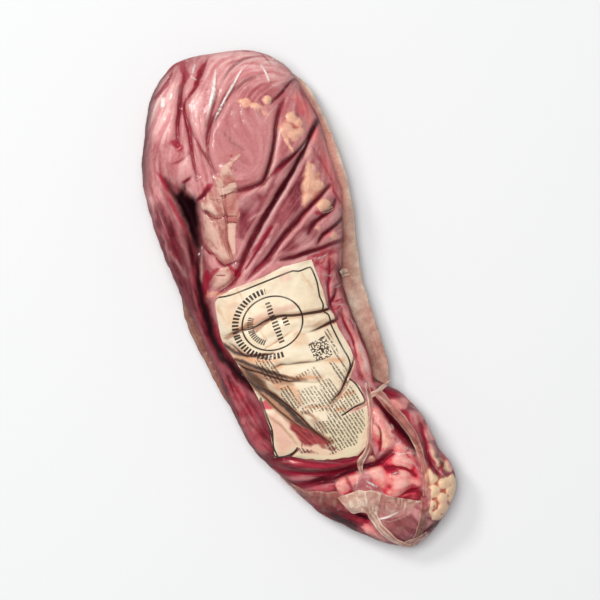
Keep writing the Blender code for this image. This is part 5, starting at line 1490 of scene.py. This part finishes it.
stain("print", patches=(
    (1, 0.8, ((-6, -57), (-1, -57), (7, -99), (-12, -99), (-12, -92), (-4, -84))),
    (0.9, 0.8, ((-1, -57), (4, -50), (9, -62), (5, -66), (12, -88), (7, -99), (4, -84))),
    (0.8, 0.8, ((-35, -23), (-26, -22), (-24, -33), (-19, -44), (-30, -42), (-35, -32))),
    (0.85, 0.8, ((-26, -46), (-20, -47), (-18, -62), (-23, -64), (-28, -54))),
    (0.85, 0.8, ((-17.5, -52), (-4, -53), (-4, -64), (-17, -62))),
    (0.6, 0.8, ((-20, -63), (-4, -65), (-5, -71), (-20, -68))),
    (0.8, 0.8, ((-16, -74), (-4, -78), (-4, -86), (-13, -86))),
    (0.8, 0.6, ((9.5, -43), (12, -43), (17, -60), (12, -60))),
    (0.7, 0.6, ((14.5, -22), (17.5, -22), (18.5, -53), (16, -53))),
    (0.8, 0.8, ((4, -70), (18, -61), (19, -74), (5, -77))),
    (0.85, 0.8, ((6, -79), (19, -79), (15, -92), (12, -94), (8, -92))),
    (0.7, 0.8, ((-31, -87), (-25, -89), (-22, -92), (-30, -92))),
    (0.7, 0.8, ((-3, -42), (1, -42), (3, -56), (-2, -56))),
    (0.6, 0.8, ((-16, -43), (-4, -42), (-4, -45), (-14, -46))),
))
turns = np.degrees(np.arctan2(round_y, round_x)) % 360
arcs = [smoothstep(0.5 + (half - np.abs(sizes - radius)) / 0.03) * (turns > first) * (turns < last)
        for radius, half, first, last in RING_ARCS]
keep_mask(label, "arc", np.max(arcs, axis=0))
stain("column", patches=(
    (1, 0.5, ((-15.4, 8.5), (-11.4, 8.5), (-11.4, -19), (-15.4, -19))),
    (1, 0.5, ((-8.6, -3), (-4.6, -3), (-4.6, -10.5), (-8.6, -10.5))),
))
stain("blocks", patches=(
    (1, 0.4, ((1, -27), (14, -26), (14, -40), (1.5, -39.5))),
))

material, tree = new_material("wet label paper")
place = own_place()
cloud = noise(place, 45, 3)
fine = noise(place, 900, 2)
crumple_and_shading = noise(stretched(28, (1.8, 0.8, 1)), 130, 4)
paper = mixed(ranged(cloud, 0.35, 0.65), (252, 240, 212), (246, 230, 198))
# painted shade and painted highlight that follow the crumple
paper = mixed(ranged(crumple_and_shading, 0.52, 0.72, 0, 0.5), paper, (224, 192, 156))
paper = mixed(ranged(crumple_and_shading, 0.46, 0.3, 0, 0.6), paper, (255, 248, 226))
paper = mixed(mask_of("green"), paper, (232, 219, 185))
# peach tint and painted shade beside the creases
paper = mixed(mask_of("peach_and_crease_shade"), paper, (230, 166, 120))
paper = mixed(mask_of("pink"), paper, mixed(ranged(mask_of("pink"), 0.6, 1), (238, 186, 166), (222, 96, 108)))
# painted brown shade beside the creases
paper = mixed(ranged(mask_of("crease_brown_shade"), 0.3, 1.0, 0, 0.5), paper, (204, 150, 112))
along_fold = noise(stretched(-32, (1, 6, 1)), 900, 3)
# the folds' painted shadow
fold_shadow_mask = mask_of("fold_shadow")
fold_shadow_colour = mixed(ranged(along_fold, 0.3, 0.7), (50, 38, 34), (92, 74, 64))
dull = mixed(ranged(fold_shadow_mask, 0.45, 0.95), (182, 136, 106), fold_shadow_colour)
paper = mixed(ranged(fold_shadow_mask, 0.12, 0.55), paper, dull)
soaked = mixed(ranged(along_fold, 0.25, 0.75), (128, 36, 46), (180, 80, 78))
# the blood stain, with painted shade along creases and edges
paper = mixed(frayed(mask_of("red"), 150, 0.8), paper, soaked)


def between(value, low, high):
    return times(worked("GREATER_THAN", value, low), worked("LESS_THAN", value, high))


# Rows of marks run down the card, a little askew, and the marks in a row are as uneven as type
askew = stretched(ROW_TURN, (1, 1, 1))
split = put("ShaderNodeSeparateXYZ", {0: askew})
row = worked("FRACT", worked("DIVIDE", split.outputs["X"], ROW_PITCH))
letters = noise(stretched(ROW_TURN, (1, 0.5, 1)), 700, 1)
rows = times(between(row, 0.15, 0.72), worked("GREATER_THAN", letters, 0.42))
rows = times(rows, worked("GREATER_THAN", mask_of("print"), 0.4))
# plain bars round the ring and in two columns
plan = put("ShaderNodeSeparateXYZ", {0: place})
turn = worked(
    "ARCTAN2", worked("DIVIDE", worked("SUBTRACT", plan.outputs["Y"], ring_y * MM), ring_high),
    worked("DIVIDE", worked("SUBTRACT", plan.outputs["X"], ring_x * MM), ring_wide))
round_bars = between(worked("FRACT", times(turn, BARS_PER_RADIAN)), 0.14, 0.76)
round_bars = times(round_bars, worked("GREATER_THAN", mask_of("arc"), 0.5))
bars = between(worked("FRACT", worked("DIVIDE", plan.outputs["Y"], BAR_PITCH)), 0.18, 0.74)
bars = times(bars, worked("GREATER_THAN", mask_of("column"), 0.5))
# a field of plain blocks
cells = put("ShaderNodeVectorMath", {0: place, 1: (BLOCK, BLOCK, 1)}, operation="SNAP")
chance = put("ShaderNodeTexWhiteNoise", {"Vector": cells.outputs[0]}, noise_dimensions="2D").outputs["Value"]
blocks = times(worked("GREATER_THAN", chance, 0.48), worked("GREATER_THAN", mask_of("blocks"), 0.5))
lines = worked("LESS_THAN", mask_of("line"), LINE_SHARE)
ink = worked("MAXIMUM", worked("MAXIMUM", round_bars, bars), worked("MAXIMUM", lines, blocks))
ink = worked("MAXIMUM", times(ink, 0.97), times(rows, 0.76))
worn = times(ink, ranged(cloud, 0.3, 0.5, 0.75, 1))
paper = mixed(worn, paper, (42, 30, 26))
# painted shade in the creases
paper = mixed(ranged(mask_of("crease_shade"), 0.25, 0.85, 0, 0.97), paper, (58, 24, 18))
bump = bumped(worked("MULTIPLY_ADD", crumple_and_shading, 4.0, fine), 0.4, 0.5 * MM)
card = put("ShaderNodeBsdfPrincipled", {"Base Color": paper, "Roughness": 0.55, "Normal": bump})
surfaced(card)
label.data.materials.append(material)
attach(label, "root")
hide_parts("paper_label")


# The table. A plain pale top lies under the pack and catches its shadow. It isn't part of the pack, and nothing is
# fixed to it.
bm = bmesh.new()
bmesh.ops.create_grid(bm, x_segments=2, y_segments=2, size=4.0)
table_mesh = bpy.data.meshes.new("table")
bm.to_mesh(table_mesh)
bm.free()
table = bpy.data.objects.new("table", table_mesh)
table.location.z = -0.2 * MM
scene.collection.objects.link(table)
material, tree = new_material("pale table")
plain = put("ShaderNodeBsdfPrincipled", {"Base Color": shade(236, 237, 238), "Roughness": 0.7})
surfaced(plain)
table.data.materials.append(material)
